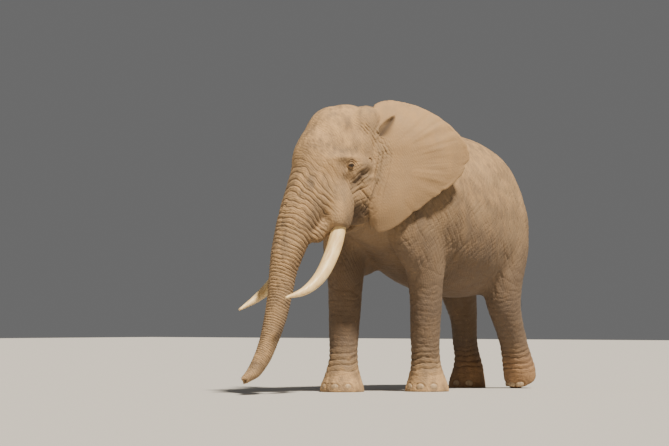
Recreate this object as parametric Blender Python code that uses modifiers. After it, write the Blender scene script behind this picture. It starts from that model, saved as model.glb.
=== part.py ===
"""An African bush elephant bull in mid-stride: a still, life-size model in Blender's metres, +Z up, facing -Y.

The flesh is built whole. Limbs, trunk and body are tubes lofted through elliptical sections and the deeper muscle and
bone are ellipsoids; a voxel remesh fuses them, smoothing blends them, and thin cuts part the result into named pieces.
Ears, tusks, eyes, tail and toenails are pieces of their own.

Places are given in the animal's own directions (left, forward, up): for the body from the ground midway between the
forefeet, for the head from the point between its two ear canals.
"""

import math

import bmesh
import bpy
import numpy as np
from mathutils import Matrix, Vector

# ---------------------------------------------------------------- driving dimensions, metres
EAR_CANAL = (0.0, 0.62, 2.60)  # midway between the two ears: the head's own origin
HEAD_YAW = math.radians(-12)  # the head looks a little to its right

FLESH_VOXEL = 0.024
# Smoothing passes over the barrel and the tops of the limbs, over the head, and everywhere.
BODY_SOFTENING = 45
FACE_SOFTENING = 24
SOFTENING = 6
# Where one amount of softening gives way to the next: forward, and up.
NECK_TO_FACE = (0.25, 0.75)
LOWER_LEGS, JAW_TO_FACE = (0.45, 1.0), (1.9, 2.3)
FLESH_FACES = 2200
GAP = 0.0004  # between neighbouring pieces

# The torso's sections: forward, top, bottom, half width.
TORSO = (
    (-2.48, 2.30, 1.95, 0.10),
    (-2.38, 2.56, 1.70, 0.31),
    (-2.18, 2.78, 1.40, 0.47),
    (-1.90, 2.92, 1.18, 0.60),
    (-1.50, 3.01, 1.09, 0.74),
    (-1.05, 3.04, 1.11, 0.81),
    (-0.60, 3.09, 1.22, 0.80),
    (-0.20, 3.18, 1.42, 0.74),
    (0.10, 3.21, 1.57, 0.62),
    (0.40, 3.16, 1.73, 0.45),
    (0.65, 3.06, 1.88, 0.34),
)
EGG = 0.18  # how much fuller a torso section is below its middle than above it

# Tubes: side, forward, up, half width and half depth at each station.
NECK = (
    (0, -0.25, 2.42, 0.56, 0.72),
    (0, 0.12, 2.50, 0.48, 0.62),
    (-0.01, 0.42, 2.52, 0.39, 0.56),
    (-0.02, 0.70, 2.50, 0.34, 0.48),
)
# Upright limbs, forward measured from the limb's own axis. The forelegs slant from the shoulder and the elbow.
SHOULDER_HEIGHT, ELBOW_HEIGHT = 2.45, 1.45
FORE_LEG = (
    (0.34, 0.02, 2.45, 0.20, 0.32),
    (0.42, 0.04, 2.05, 0.24, 0.37),
    (0.44, 0.02, 1.72, 0.23, 0.33),
    (0.43, -0.01, 1.45, 0.205, 0.28),
    (0.41, -0.02, 1.20, 0.19, 0.235),
    (0.39, -0.01, 0.95, 0.185, 0.20),
    (0.37, 0.00, 0.72, 0.175, 0.185),
    (0.355, 0.00, 0.50, 0.165, 0.17),
    (0.345, 0.00, 0.32, 0.17, 0.18),
    (0.34, 0.00, 0.16, 0.21, 0.225),
    (0.335, 0.00, 0.04, 0.25, 0.265),
    (0.335, 0.00, -0.10, 0.255, 0.27),
)
HIND_AXIS = 2.05
HIND_LEG = (
    (0.30, 0.13, 2.40, 0.16, 0.26),
    (0.37, 0.15, 2.10, 0.25, 0.35),
    (0.40, 0.16, 1.70, 0.26, 0.37),
    (0.40, 0.12, 1.35, 0.22, 0.31),
    (0.385, 0.05, 1.08, 0.185, 0.25),
    (0.37, 0.00, 0.85, 0.16, 0.19),
    (0.35, 0.01, 0.60, 0.15, 0.16),
    (0.335, -0.02, 0.38, 0.155, 0.165),
    (0.32, -0.02, 0.22, 0.18, 0.20),
    (0.315, 0.00, 0.06, 0.215, 0.235),
    (0.315, 0.00, -0.10, 0.22, 0.24),
)
PUSHING_LEG = (
    (0.30, -1.92, 2.40, 0.16, 0.25),
    (0.37, -1.88, 2.10, 0.25, 0.33),
    (0.41, -1.80, 1.70, 0.26, 0.37),
    (0.43, -1.74, 1.35, 0.23, 0.32),
    (0.43, -1.76, 1.08, 0.20, 0.26),
    (0.41, -1.88, 0.82, 0.175, 0.20),
    (0.39, -2.02, 0.58, 0.165, 0.175),
    (0.37, -2.11, 0.40, 0.17, 0.185),
    (0.36, -2.17, 0.27, 0.185, 0.205),
    (0.355, -2.21, 0.17, 0.195, 0.205),
    (0.35, -2.26, 0.085, 0.185, 0.19),
)
TAIL = (
    (0, -2.12, 2.66, 0.10, 0.10),
    (0, -2.36, 2.52, 0.085, 0.085),
    (0.01, -2.50, 2.28, 0.062, 0.062),
    (0.02, -2.55, 1.95, 0.046, 0.046),
    (0.03, -2.57, 1.60, 0.036, 0.036),
    (0.04, -2.57, 1.28, 0.028, 0.028),
)
TAIL_TUFT = (
    (0.04, -2.57, 1.279, 0.030, 0.032),
    (0.043, -2.572, 1.18, 0.034, 0.060),
    (0.047, -2.575, 1.05, 0.030, 0.075),
    (0.05, -2.575, 0.92, 0.012, 0.030),
)
# In the head's own frame.
TRUNK = (
    (0, 0.18, 0.30, 0.28, 0.34),
    (0, 0.35, 0.03, 0.33, 0.36),
    (0, 0.52, -0.24, 0.31, 0.31),
    (0, 0.68, -0.50, 0.275, 0.25),
    (0, 0.81, -0.76, 0.235, 0.21),
    (0, 0.92, -1.02, 0.19, 0.18),
    (0, 0.99, -1.30, 0.155, 0.155),
    (0, 1.05, -1.60, 0.135, 0.135),
    (0, 1.13, -1.88, 0.115, 0.115),
    (0, 1.23, -2.12, 0.10, 0.098),
    (0, 1.37, -2.33, 0.085, 0.082),
    (0, 1.54, -2.45, 0.072, 0.062),
)
TUSK_LEFT = (
    (0.25, 0.36, -0.56, 0.070, 0.070),
    (0.28, 0.41, -0.74, 0.084, 0.084),
    (0.33, 0.53, -1.00, 0.084, 0.084),
    (0.38, 0.74, -1.28, 0.073, 0.073),
    (0.40, 0.98, -1.45, 0.048, 0.048),
    (0.38, 1.24, -1.53, 0.012, 0.012),
)
TUSK_RIGHT = (
    (0.25, 0.36, -0.56, 0.070, 0.070),
    (0.28, 0.41, -0.74, 0.084, 0.084),
    (0.33, 0.55, -1.02, 0.084, 0.084),
    (0.38, 0.78, -1.32, 0.073, 0.073),
    (0.41, 1.02, -1.52, 0.048, 0.048),
    (0.41, 1.28, -1.66, 0.012, 0.012),
)
TUSK_SHEATH = (
    (0.17, 0.22, -0.05, 0.17, 0.20),
    (0.22, 0.32, -0.35, 0.17, 0.20),
    (0.265, 0.40, -0.62, 0.145, 0.17),
    (0.28, 0.42, -0.74, 0.125, 0.14),
)
JAW = (
    (0, -0.10, -0.45, 0.28, 0.30),
    (0, 0.10, -0.60, 0.23, 0.20),
    (0, 0.30, -0.74, 0.15, 0.14),
    (0, 0.46, -0.82, 0.075, 0.08),
    (0, 0.55, -0.86, 0.035, 0.035),
)
# Centre and radii of the deeper forms; those off the midline are doubled by mirror.
HEAD_MASSES = (
    ((0, 0.08, 0.17), (0.40, 0.46, 0.51)),
    ((0, 0.29, 0.15), (0.34, 0.33, 0.50)),
    ((0, 0.40, -0.05), (0.34, 0.37, 0.52)),
    ((0.25, 0.10, -0.34), (0.18, 0.30, 0.37)),
    ((0.26, 0.22, -0.04), (0.16, 0.40, 0.22)),
    ((0.20, 0.42, -0.30), (0.16, 0.26, 0.40)),
)
BODY_MASSES = (
    ((0.40, -0.02, 2.12), (0.22, 0.42, 0.74)),
    ((0.43, -0.12, 1.90), (0.23, 0.46, 0.58)),
    ((0, 0.34, 2.80), (0.34, 0.50, 0.49)),
    ((0.28, -1.82, 2.25), (0.26, 0.38, 0.46)),
)

EYE = (0.41, 0.385, -0.045)
EYE_RADIUS = 0.032

# The ear lies in a plane flared from the head: back and up along it, and outward from it.
EAR_ROOT = (0.42, -0.08, 0.0)
EAR_FLARE = {1: math.radians(20), -1: math.radians(56)}
EAR_DROP = {1: 0.0, -1: 0.07}  # how much lower the ear hangs
EAR_LEAN = {1: 1.0, -1: 0.25}  # how far its top leans in over the neck
EAR_ROOT_LINE = (
    (-0.08, 0.50, -0.13),
    (-0.05, 0.30, -0.05),
    (-0.05, 0.05, -0.02),
    (-0.08, -0.18, -0.02),
    (-0.12, -0.36, -0.03),
)
EAR_RIM = (
    (-0.04, 0.60, -0.18),
    (0.04, 0.69, -0.23),
    (0.23, 0.73, -0.24),
    (0.47, 0.69, -0.19),
    (0.68, 0.59, -0.12),
    (0.88, 0.44, -0.06),
    (1.04, 0.26, -0.02),
    (1.09, 0.08, -0.02),
    (0.99, -0.12, -0.01),
    (0.80, -0.29, 0.00),
    (0.58, -0.44, 0.00),
    (0.36, -0.60, -0.01),
    (0.16, -0.74, -0.03),
    (0.00, -0.79, -0.05),
    (-0.10, -0.70, -0.05),
)
EAR_CUP = 0.05  # how far its middle bulges outward
EAR_THICKNESS = (0.050, 0.020)  # at the root, at the rim
EAR_GRID = (4, 21)

EYE_SINK = 0.018
NAIL_HEIGHT = 0.075
NAIL_SINK = 0.012
NAIL_SIZE = (0.042, 0.028, 0.060)
# The middle of each sole, its number of toenails and how far round the front they spread.
FEET = {
    "fore_left": ((0.335, -0.37), 4, 0.95),
    "fore_right": ((-0.335, 0.37), 4, 0.95),
    "hind_left": ((0.35, -2.22), 3, 0.6),
    "hind_right": ((-0.315, -2.05), 3, 0.7),
}

# The cuts that part the flesh. The nape and the withers: a point of each, and their shared tip.
HEAD_CUT = (0, -0.12, -0.03)
NECK_CUT = (0, 0.12, 2.60)
NAPE_TIP = math.radians(-13)
# The others: name, a point of the plane, its tip in degrees, and the size of the box below it.
TRUNK_CUTS = (
    ("trunk_tip", (0, 1.20, -2.03), -30, (0.8, 0.9, 3)),
    ("trunk_middle", (0, 1.03, -1.48), -14, (0.8, 0.9, 3)),
    ("trunk_upper", (0, 0.84, -0.88), -22, (0.8, 0.9, 3)),
)
JAW_CUT = (("jaw", (0, 0.24, -0.66), 21, (0.30, 0.74, 0.6)),)
LIMB_CUTS = (
    ("foreleg_left_foot", (0.34, -0.37, 0.27), 0, (0.7, 0.8, 0.4)),
    ("foreleg_right_foot", (-0.34, 0.37, 0.27), 0, (0.7, 0.8, 0.4)),
    ("hindleg_right_foot", (-0.32, -2.06, 0.26), 0, (0.7, 0.8, 0.4)),
    ("hindleg_left_foot", (0.36, -2.10, 0.36), 30, (0.7, 0.8, 0.5)),
    ("foreleg_left_lower", (0.40, -0.30, 1.05), 0, (0.7, 0.9, 1.2)),
    ("foreleg_right_lower", (-0.40, 0.30, 1.05), 0, (0.7, 0.9, 1.2)),
    ("hindleg_right_lower", (-0.40, -2.05, 0.98), 0, (0.7, 0.9, 1.2)),
    ("hindleg_left_lower", (0.42, -2.05, 0.98), 0, (0.7, 1.2, 1.2)),
)


def limb_root(forward, low, width, depth, tall):
    """The stations of a domed cutter round the top of a limb."""
    shape = ((0, 0.9, 0.8), (0.25, 0.95, 0.9), (0.55, 1, 1), (0.8, 0.88, 0.86), (0.94, 0.55, 0.55), (1, 0.1, 0.1))
    return [(0.12 + width, forward, low + tall * t, width * a, depth * b) for t, a, b in shape]


LIMB_ROOTS = (
    ("foreleg_left_upper", 1, limb_root(-0.18, 0.95, 0.37, 0.48, 1.65)),
    ("foreleg_right_upper", -1, limb_root(0.20, 0.95, 0.37, 0.48, 1.65)),
    ("hindleg_left_upper", 1, limb_root(-1.90, 0.90, 0.36, 0.60, 1.60)),
    ("hindleg_right_upper", -1, limb_root(-1.98, 0.90, 0.36, 0.55, 1.60)),
)

# Colour and roughness of each kind of piece.
FINISHES = {
    "skin": ((0.30, 0.21, 0.14), 0.85),
    "ivory": ((0.78, 0.66, 0.44), 0.40),
    "eye": ((0.05, 0.03, 0.02), 0.15),
    "nail": ((0.42, 0.30, 0.20), 0.60),
    "hair": ((0.03, 0.025, 0.02), 0.60),
}


def at(side, forward, up):
    """A Blender point from the animal's directions."""
    return Vector((side, -forward, up))


def head_matrix():
    """Carries a Blender point of the head's own frame to its place on the animal."""
    return Matrix.Translation(at(*EAR_CANAL)) @ Matrix.Rotation(HEAD_YAW, 4, "Z")


def smooth_stations(stations, per_gap):
    """Stations on a Catmull-Rom curve through the given ones."""
    rows = np.array(stations, float)
    rows = np.vstack([2 * rows[0] - rows[1], rows, 2 * rows[-1] - rows[-2]])
    out = []
    for i in range(1, len(rows) - 2):
        a, b, c, d = rows[i - 1 : i + 3]
        for t in np.arange(per_gap) / per_gap:
            square, cube = 2 * a - 5 * b + 4 * c - d, 3 * b - a - 3 * c + d
            out.append(0.5 * (2 * b + (c - a) * t + square * t**2 + cube * t**3))
    out.append(rows[-2])
    return np.array(out)


def linked(name, bm):
    """An object in the scene from a bmesh, all in triangles so that every face is flat."""
    mesh = bpy.data.meshes.new(name)
    bmesh.ops.triangulate(bm, faces=bm.faces)
    bmesh.ops.recalc_face_normals(bm, faces=bm.faces)
    bm.to_mesh(mesh)
    bm.free()
    obj = bpy.data.objects.new(name, mesh)
    bpy.context.scene.collection.objects.link(obj)
    return obj


def loft(name, rings):
    """A closed mesh object through rings of points."""
    bm = bmesh.new()
    loops = [[bm.verts.new(p) for p in ring] for ring in rings]
    for low, high in zip(loops, loops[1:]):
        for i in range(len(low)):
            j = (i + 1) % len(low)
            bm.faces.new((low[i], low[j], high[j], high[i]))
    bm.faces.new(reversed(loops[0]))
    bm.faces.new(loops[-1])
    return linked(name, bm)


def circle(count):
    """The cosine and sine of evenly spaced angles."""
    return [(math.cos(2 * math.pi * k / count), math.sin(2 * math.pi * k / count)) for k in range(count)]


def tube(name, stations, mirror=1, around=28, per_gap=4):
    """A tube of elliptical sections, each square to the line through the stations."""
    rows = smooth_stations(stations, per_gap)
    centres = [at(mirror * r[0], r[1], r[2]) for r in rows]
    rings = []
    for i, centre in enumerate(centres):
        along = (centres[min(i + 1, len(rows) - 1)] - centres[max(i - 1, 0)]).normalized()
        across = (Vector((1, 0, 0)) - along * along.x).normalized()
        deep = along.cross(across)
        width, depth = rows[i][3:]
        rings.append([centre + across * width * c + deep * depth * s for c, s in circle(around)])
    return loft(name, rings)


def torso():
    """The barrel, from egg-shaped upright sections."""
    rings = []
    for forward, top, bottom, half in smooth_stations(TORSO, 4):
        middle, tall = (top + bottom) / 2, (top - bottom) / 2
        rings.append([at(half * s * (1 - EGG * c), forward, middle + tall * c) for c, s in circle(40)])
    return loft("torso", rings)


def ball(name, place, radii, segments, turn=0.0):
    """An ellipsoid at a Blender point, turned about the vertical."""
    bm = bmesh.new()
    bmesh.ops.create_uvsphere(bm, u_segments=segments, v_segments=segments * 2 // 3, radius=1)
    bmesh.ops.scale(bm, vec=radii, verts=bm.verts)
    matrix = Matrix.Translation(place) @ Matrix.Rotation(turn, 4, "Z")
    bmesh.ops.transform(bm, matrix=matrix, verts=bm.verts)
    return linked(name, bm)


def masses(forms):
    """An ellipsoid for each form, and its mirror image when it is off the midline."""
    made = []
    for (side, forward, up), radii in forms:
        for mirror in (1, -1) if side else (1,):
            made.append(ball("mass", at(mirror * side, forward, up), radii, 28))
    return made


def evaluated(obj):
    """Applies an object's modifiers and returns it."""
    graph = bpy.context.evaluated_depsgraph_get()
    mesh = bpy.data.meshes.new_from_object(obj.evaluated_get(graph))
    old = obj.data
    obj.modifiers.clear()
    obj.data = mesh
    bpy.data.meshes.remove(old)
    return obj


def joined(name, objects):
    """One object holding the meshes of the given ones."""
    bm = bmesh.new()
    for obj in objects:
        bm.from_mesh(obj.data)
        bpy.data.objects.remove(obj)
    return linked(name, bm)


def head_parts():
    """The skull, trunk, jaw and tusk sheaths, overlapping, in their place on the animal."""
    parts = masses(HEAD_MASSES)
    parts += [tube("tusk_sheath", TUSK_SHEATH, side) for side in (1, -1)]
    parts += [tube("trunk", TRUNK), tube("jaw", JAW)]
    for part in parts:
        part.data.transform(head_matrix())
    return parts


def posed(stations, elbow, foot):
    """The upright leg's stations slanted so the elbow and foot stand forward by the given amounts."""
    heights, leans = (0, ELBOW_HEIGHT, SHOULDER_HEIGHT), (foot, elbow, 0)
    return [(s, f + float(np.interp(u, heights, leans)), u, a, b) for s, f, u, a, b in stations]


def legs():
    """Both forelegs slanted into the stride, the right hind leg upright and the left pushing off."""
    return [
        tube("foreleg_left", posed(FORE_LEG, -0.20, -0.37)),
        tube("foreleg_right", posed(FORE_LEG, 0.20, 0.37), -1),
        tube("hindleg_right", [(s, f - HIND_AXIS, u, a, b) for s, f, u, a, b in HIND_LEG], -1),
        tube("hindleg_left", PUSHING_LEG),
    ]


def points_of(obj):
    """The object's vertices as rows of left, forward and up."""
    co = np.empty(len(obj.data.vertices) * 3)
    obj.data.vertices.foreach_get("co", co)
    return co.reshape(-1, 3) * (1, -1, 1)


def soften(obj, iterations, weights=None):
    """Smooths the mesh, each vertex by its own share when weights are given."""
    tool = obj.modifiers.new("soften", "SMOOTH")
    tool.factor, tool.iterations = 0.5, iterations
    if weights is not None:
        group = obj.vertex_groups.new(name="soften")
        for share in range(1, 11):
            chosen = np.nonzero(np.round(weights * 10) == share)[0]
            group.add(chosen.tolist(), share / 10, "REPLACE")
        tool.vertex_group = "soften"
    evaluated(obj)
    obj.vertex_groups.clear()
    return obj


def step(x, low, high):
    """0 below low, 1 above high and smooth between them."""
    t = np.clip((x - low) / (high - low), 0, 1)
    return t * t * (3 - 2 * t)


def slab(name, centre, size, matrix=None):
    """A box given by its centre and its size, both as (side, forward, up)."""
    bm = bmesh.new()
    bmesh.ops.create_cube(bm, size=1)
    bmesh.ops.scale(bm, vec=size, verts=bm.verts)
    bmesh.ops.translate(bm, vec=at(*centre), verts=bm.verts)
    if matrix is not None:
        bmesh.ops.transform(bm, matrix=matrix, verts=bm.verts)
    return linked(name, bm)


def combined(obj, cutter, operation, keep=False):
    """Applies a Boolean to the object and, unless kept, removes the cutter."""
    tool = obj.modifiers.new("cut", "BOOLEAN")
    tool.operation, tool.solver, tool.object = operation, "EXACT", cutter
    evaluated(obj)
    if not keep:
        bpy.data.objects.remove(cutter)
    return obj


def flesh():
    """The whole body without ears and tail, as one closed skin standing on the ground."""
    forms = [torso(), tube("neck", NECK)] + legs() + masses(BODY_MASSES) + head_parts()
    whole = joined("flesh", forms)
    remesh = whole.modifiers.new("fuse", "REMESH")
    remesh.mode, remesh.voxel_size = "VOXEL", FLESH_VOXEL
    evaluated(whole)
    _, forward, up = points_of(whole).T
    soften(whole, BODY_SOFTENING, step(up, *LOWER_LEGS) * (1 - step(forward, *NECK_TO_FACE)))
    soften(whole, FACE_SOFTENING, step(up, *JAW_TO_FACE) * step(forward, *NECK_TO_FACE))
    soften(whole, SOFTENING)
    return combined(whole, slab("above", (0, 0, 2), (6, 9, 4)), "INTERSECT")


def ear(name, side):
    """A sheet between the root line and the rim, thick at the root, in its place on the head."""
    rows, count = EAR_GRID
    root = resampled(EAR_ROOT_LINE, count)
    rim = resampled(EAR_RIM, count)
    flare = EAR_FLARE[side]
    back = Vector((math.sin(flare), math.cos(flare), 0))
    out = Vector((math.cos(flare), -math.sin(flare), 0))
    turn = head_matrix() @ Matrix.Diagonal((side, 1, 1, 1))
    faces = {}
    bm = bmesh.new()
    for sheet in (0.5, -0.5):
        for i in range(rows):
            u = i / (rows - 1)
            for j in range(count):
                a, b, c = root[j] * (1 - u) + rim[j] * u
                c = c * EAR_LEAN[side] + EAR_CUP * math.sin(math.pi * u)
                thick = EAR_THICKNESS[0] * (1 - u) + EAR_THICKNESS[1] * u
                point = at(*EAR_ROOT) + back * a + out * (c + sheet * thick)
                point.z += b - EAR_DROP[side]
                faces[sheet, i, j] = bm.verts.new(turn @ point)
    for i in range(rows - 1):
        for j in range(count - 1):
            for sheet in (0.5, -0.5):
                bm.faces.new([faces[sheet, i + di, j + dj] for di, dj in ((0, 0), (0, 1), (1, 1), (1, 0))])
    ring = [(i, 0) for i in range(rows)] + [(rows - 1, j) for j in range(1, count)]
    ring += [(i, count - 1) for i in range(rows - 2, -1, -1)] + [(0, j) for j in range(count - 2, 0, -1)]
    for here, there in zip(ring, ring[1:] + ring[:1]):
        bm.faces.new([faces[0.5, *here], faces[0.5, *there], faces[-0.5, *there], faces[-0.5, *here]])
    bmesh.ops.remove_doubles(bm, verts=bm.verts, dist=1e-5)
    return linked(name, bm)


def resampled(points, count):
    """Evenly spaced points on a smooth curve through the given ones."""
    line = smooth_stations(points, 8)
    steps = np.concatenate([[0], np.cumsum(np.linalg.norm(np.diff(line, axis=0), axis=1))])
    wanted = np.linspace(0, steps[-1], count)
    return np.stack([np.interp(wanted, steps, line[:, k]) for k in range(line.shape[1])], axis=1)


def grown(obj):
    """A copy with its skin moved outward by the gap."""
    copy = bpy.data.objects.new("grown", obj.data.copy())
    bpy.context.scene.collection.objects.link(copy)
    swell = copy.modifiers.new("swell", "DISPLACE")
    swell.direction, swell.strength, swell.mid_level = "NORMAL", GAP, 0
    return evaluated(copy)


def carved(obj, name, cutter):
    """Takes the part of the object inside the cutter away as a piece of its own."""
    piece = bpy.data.objects.new(name, obj.data.copy())
    bpy.context.scene.collection.objects.link(piece)
    outside = grown(cutter)
    combined(piece, cutter, "INTERSECT")
    combined(obj, outside, "DIFFERENCE")
    return piece


def below(point, tip, size, frame):
    """A box whose top face passes through the point, tipped down to the front by tip degrees."""
    matrix = frame @ Matrix.Translation(at(*point)) @ Matrix.Rotation(math.radians(tip), 4, "X")
    return slab("cutter", (0, 0, -size[2] / 2), size, matrix)


def surface(obj, start, toward):
    """Where a line from a point outside first meets the object, and the normal there."""
    hit, place, normal, _ = obj.ray_cast(start, (toward - start).normalized())
    return (place, normal) if hit else (toward, Vector((0, 0, 1)))


def eye(name, side, body):
    """An eyeball sunk a little below the skin, where a line to the middle of the head meets it."""
    outside = head_matrix() @ at(side * 2 * EYE[0], EYE[1], EYE[2])
    inside = head_matrix() @ at(0, EYE[1] - 0.12, EYE[2])
    place, _ = surface(body, outside, inside)
    return ball(name, place + (inside - place).normalized() * EYE_SINK, (EYE_RADIUS,) * 3, 10)


def nails(foot, centre, count, spread, body):
    """Toenails around the front of a foot, their lower edges just clear of the ground."""
    made = []
    for k in range(count):
        turn = spread * (2 * k / (count - 1) - 1)
        toward = Vector((math.sin(turn), -math.cos(turn), 0))
        middle = at(*centre, NAIL_HEIGHT)
        place, _ = surface(body, middle + toward, middle)
        made.append(ball(f"nail_{foot}_{k + 1}", place - toward * NAIL_SINK, NAIL_SIZE, 8, turn))
    return made


def material(name, colour, roughness):
    """A plain finish of one colour."""
    made = bpy.data.materials.new(name)
    made.use_nodes = True
    finish = made.node_tree.nodes["Principled BSDF"]
    finish.inputs["Base Color"].default_value = (*colour, 1)
    finish.inputs["Roughness"].default_value = roughness
    return made


def build():
    """Makes every piece of the animal and returns them by kind."""
    body = flesh()
    thin = body.modifiers.new("thin", "DECIMATE")
    thin.ratio = FLESH_FACES / sum(len(f.vertices) - 2 for f in body.data.polygons)
    thin.use_collapse_triangulate = True
    evaluated(body)

    # What grows out of the skin is cut to it.
    horn = []
    for foot, (centre, count, spread) in FEET.items():
        horn += nails(foot, centre, count, spread, body)
    sheets = [ear("ear_left", 1), ear("ear_right", -1), tube("tail", TAIL, 1, 8, 2)]
    skin = grown(body)
    for piece in horn + sheets:
        combined(piece, skin, "DIFFERENCE", keep=True)
    bpy.data.objects.remove(skin)
    tuft = tube("tail_tuft", TAIL_TUFT, 1, 8, 2)
    combined(tuft, grown(sheets[-1]), "DIFFERENCE")

    # The skin is cut to what sits in it.
    eyes = [eye("eye_left", 1, body), eye("eye_right", -1, body)]
    tusks = [tube("tusk_left", TUSK_LEFT, 1, 12, 2), tube("tusk_right", TUSK_RIGHT, -1, 12, 2)]
    for piece in tusks:
        piece.data.transform(head_matrix())
    for piece in eyes + tusks:
        combined(body, grown(piece), "DIFFERENCE")
    return {"skin": parted(body) + sheets, "ivory": tusks, "eye": eyes, "nail": horn, "hair": [tuft]}


def parted(body):
    """The flesh in its named lengths: what is nearer a tip comes away before what carries it."""
    head_frame = head_matrix()
    nape = Matrix.Translation(at(*HEAD_CUT)) @ Matrix.Rotation(NAPE_TIP, 4, "X")
    head = carved(body, "head", slab("cutter", (0, 1.5, 0), (3, 3, 6), head_frame @ nape))
    pieces = [head]
    for name, point, angle, size in TRUNK_CUTS + JAW_CUT:
        pieces.append(carved(head, name, below(point, angle, size, head_frame)))
    for name, point, angle, size in LIMB_CUTS:
        pieces.append(carved(body, name, below(point, angle, size, Matrix.Identity(4))))
    withers = Matrix.Translation(at(*NECK_CUT)) @ Matrix.Rotation(NAPE_TIP, 4, "X")
    pieces.append(carved(body, "neck", slab("cutter", (0, 1.5, 0), (3, 3, 3), withers)))
    for name, side, stations in LIMB_ROOTS:
        pieces.append(carved(body, name, tube("cutter", stations, side, 14, 1)))
    body.name = "torso"
    return pieces + [body]


def finished(kinds):
    """Gives every piece its material and its own origin, with the whole animal centred over the world's."""
    collection = bpy.data.collections.new("elephant")
    bpy.context.scene.collection.children.link(collection)
    corners = [Vector(c) for pieces in kinds.values() for piece in pieces for c in piece.bound_box]
    low, high = (Vector(edge(c[k] for c in corners) for k in range(3)) for edge in (min, max))
    centre = Vector(((low.x + high.x) / 2, (low.y + high.y) / 2, 0))
    for kind, pieces in kinds.items():
        finish = material(kind, *FINISHES[kind])
        for piece in pieces:
            middle = sum((Vector(c) for c in piece.bound_box), Vector()) / 8
            piece.data.transform(Matrix.Translation(-middle))
            piece.location = middle - centre
            piece.data.name = piece.name
            piece.data.materials.clear()
            piece.data.materials.append(finish)
            piece.data.shade_smooth()
            piece.data.set_sharp_from_angle(angle=math.radians(50))
            bpy.context.scene.collection.objects.unlink(piece)
            collection.objects.link(piece)


for stale in list(bpy.data.objects):
    bpy.data.objects.remove(stale)
finished(build())
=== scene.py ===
"""The elephant's looks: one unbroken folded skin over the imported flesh, with tusks, eyes, nails and hair.

The skin is built from the same named forms as the flesh, at a finer grain, then sculpted and
wrinkled by formulas. Places are in the animal's own directions (left, forward, up), and those of
the head are measured from the point between its ear canals.
"""

import itertools
import math

import bmesh
import bpy
import numpy as np
from mathutils import Matrix, Vector, kdtree


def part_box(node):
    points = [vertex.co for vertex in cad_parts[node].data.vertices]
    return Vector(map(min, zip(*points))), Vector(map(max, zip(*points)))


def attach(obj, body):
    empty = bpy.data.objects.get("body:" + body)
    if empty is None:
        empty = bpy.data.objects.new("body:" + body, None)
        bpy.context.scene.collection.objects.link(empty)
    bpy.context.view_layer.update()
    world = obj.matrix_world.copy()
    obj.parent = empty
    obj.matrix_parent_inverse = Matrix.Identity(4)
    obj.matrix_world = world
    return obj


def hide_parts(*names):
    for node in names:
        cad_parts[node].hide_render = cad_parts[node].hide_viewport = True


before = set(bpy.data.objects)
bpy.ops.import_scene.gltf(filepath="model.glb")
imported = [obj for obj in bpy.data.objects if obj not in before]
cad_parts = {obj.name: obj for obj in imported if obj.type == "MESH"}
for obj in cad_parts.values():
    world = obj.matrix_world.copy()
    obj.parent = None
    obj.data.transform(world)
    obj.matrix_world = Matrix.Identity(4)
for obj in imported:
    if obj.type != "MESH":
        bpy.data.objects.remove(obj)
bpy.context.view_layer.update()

# ---------------------------------------------------------------- the forms of the flesh, metres
EAR_CANAL = (0.0, 0.62, 2.60)  # midway between the two ears: the head's own origin
HEAD_YAW = math.radians(-12)  # the head looks a little to its right
FLESH_VOXEL = 0.024
BODY_SOFTENING = 45
FACE_SOFTENING = 24
SOFTENING = 6
NECK_TO_FACE = (0.25, 0.75)
LOWER_LEGS, JAW_TO_FACE = (0.45, 1.0), (1.9, 2.3)
TORSO = (
    (-2.48, 2.30, 1.95, 0.10),
    (-2.38, 2.56, 1.70, 0.31),
    (-2.18, 2.78, 1.40, 0.47),
    (-1.90, 2.92, 1.18, 0.60),
    (-1.50, 3.01, 1.09, 0.74),
    (-1.05, 3.04, 1.11, 0.81),
    (-0.60, 3.09, 1.22, 0.80),
    (-0.20, 3.18, 1.42, 0.74),
    (0.10, 3.21, 1.57, 0.62),
    (0.40, 3.16, 1.73, 0.45),
    (0.65, 3.06, 1.88, 0.34),
)
EGG = 0.18  # how much fuller a torso section is below its middle than above it
SHOULDER_HEIGHT, ELBOW_HEIGHT = 2.45, 1.45
NECK = (
    (0, -0.25, 2.42, 0.56, 0.72),
    (0, 0.12, 2.50, 0.48, 0.62),
    (-0.01, 0.42, 2.52, 0.39, 0.56),
    (-0.02, 0.70, 2.50, 0.34, 0.48),
)
FORE_LEG = (
    (0.34, 0.02, 2.45, 0.20, 0.32),
    (0.42, 0.04, 2.05, 0.24, 0.37),
    (0.44, 0.02, 1.72, 0.23, 0.33),
    (0.43, -0.01, 1.45, 0.205, 0.28),
    (0.41, -0.02, 1.20, 0.19, 0.235),
    (0.39, -0.01, 0.95, 0.185, 0.20),
    (0.37, 0.00, 0.72, 0.175, 0.185),
    (0.355, 0.00, 0.50, 0.165, 0.17),
    (0.345, 0.00, 0.32, 0.17, 0.18),
    (0.34, 0.00, 0.16, 0.21, 0.225),
    (0.335, 0.00, 0.04, 0.25, 0.265),
    (0.335, 0.00, -0.10, 0.255, 0.27),
)
HIND_AXIS = 2.05
HIND_LEG = (
    (0.30, 0.13, 2.40, 0.16, 0.26),
    (0.37, 0.15, 2.10, 0.25, 0.35),
    (0.40, 0.16, 1.70, 0.26, 0.37),
    (0.40, 0.12, 1.35, 0.22, 0.31),
    (0.385, 0.05, 1.08, 0.185, 0.25),
    (0.37, 0.00, 0.85, 0.16, 0.19),
    (0.35, 0.01, 0.60, 0.15, 0.16),
    (0.335, -0.02, 0.38, 0.155, 0.165),
    (0.32, -0.02, 0.22, 0.18, 0.20),
    (0.315, 0.00, 0.06, 0.215, 0.235),
    (0.315, 0.00, -0.10, 0.22, 0.24),
)
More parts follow.
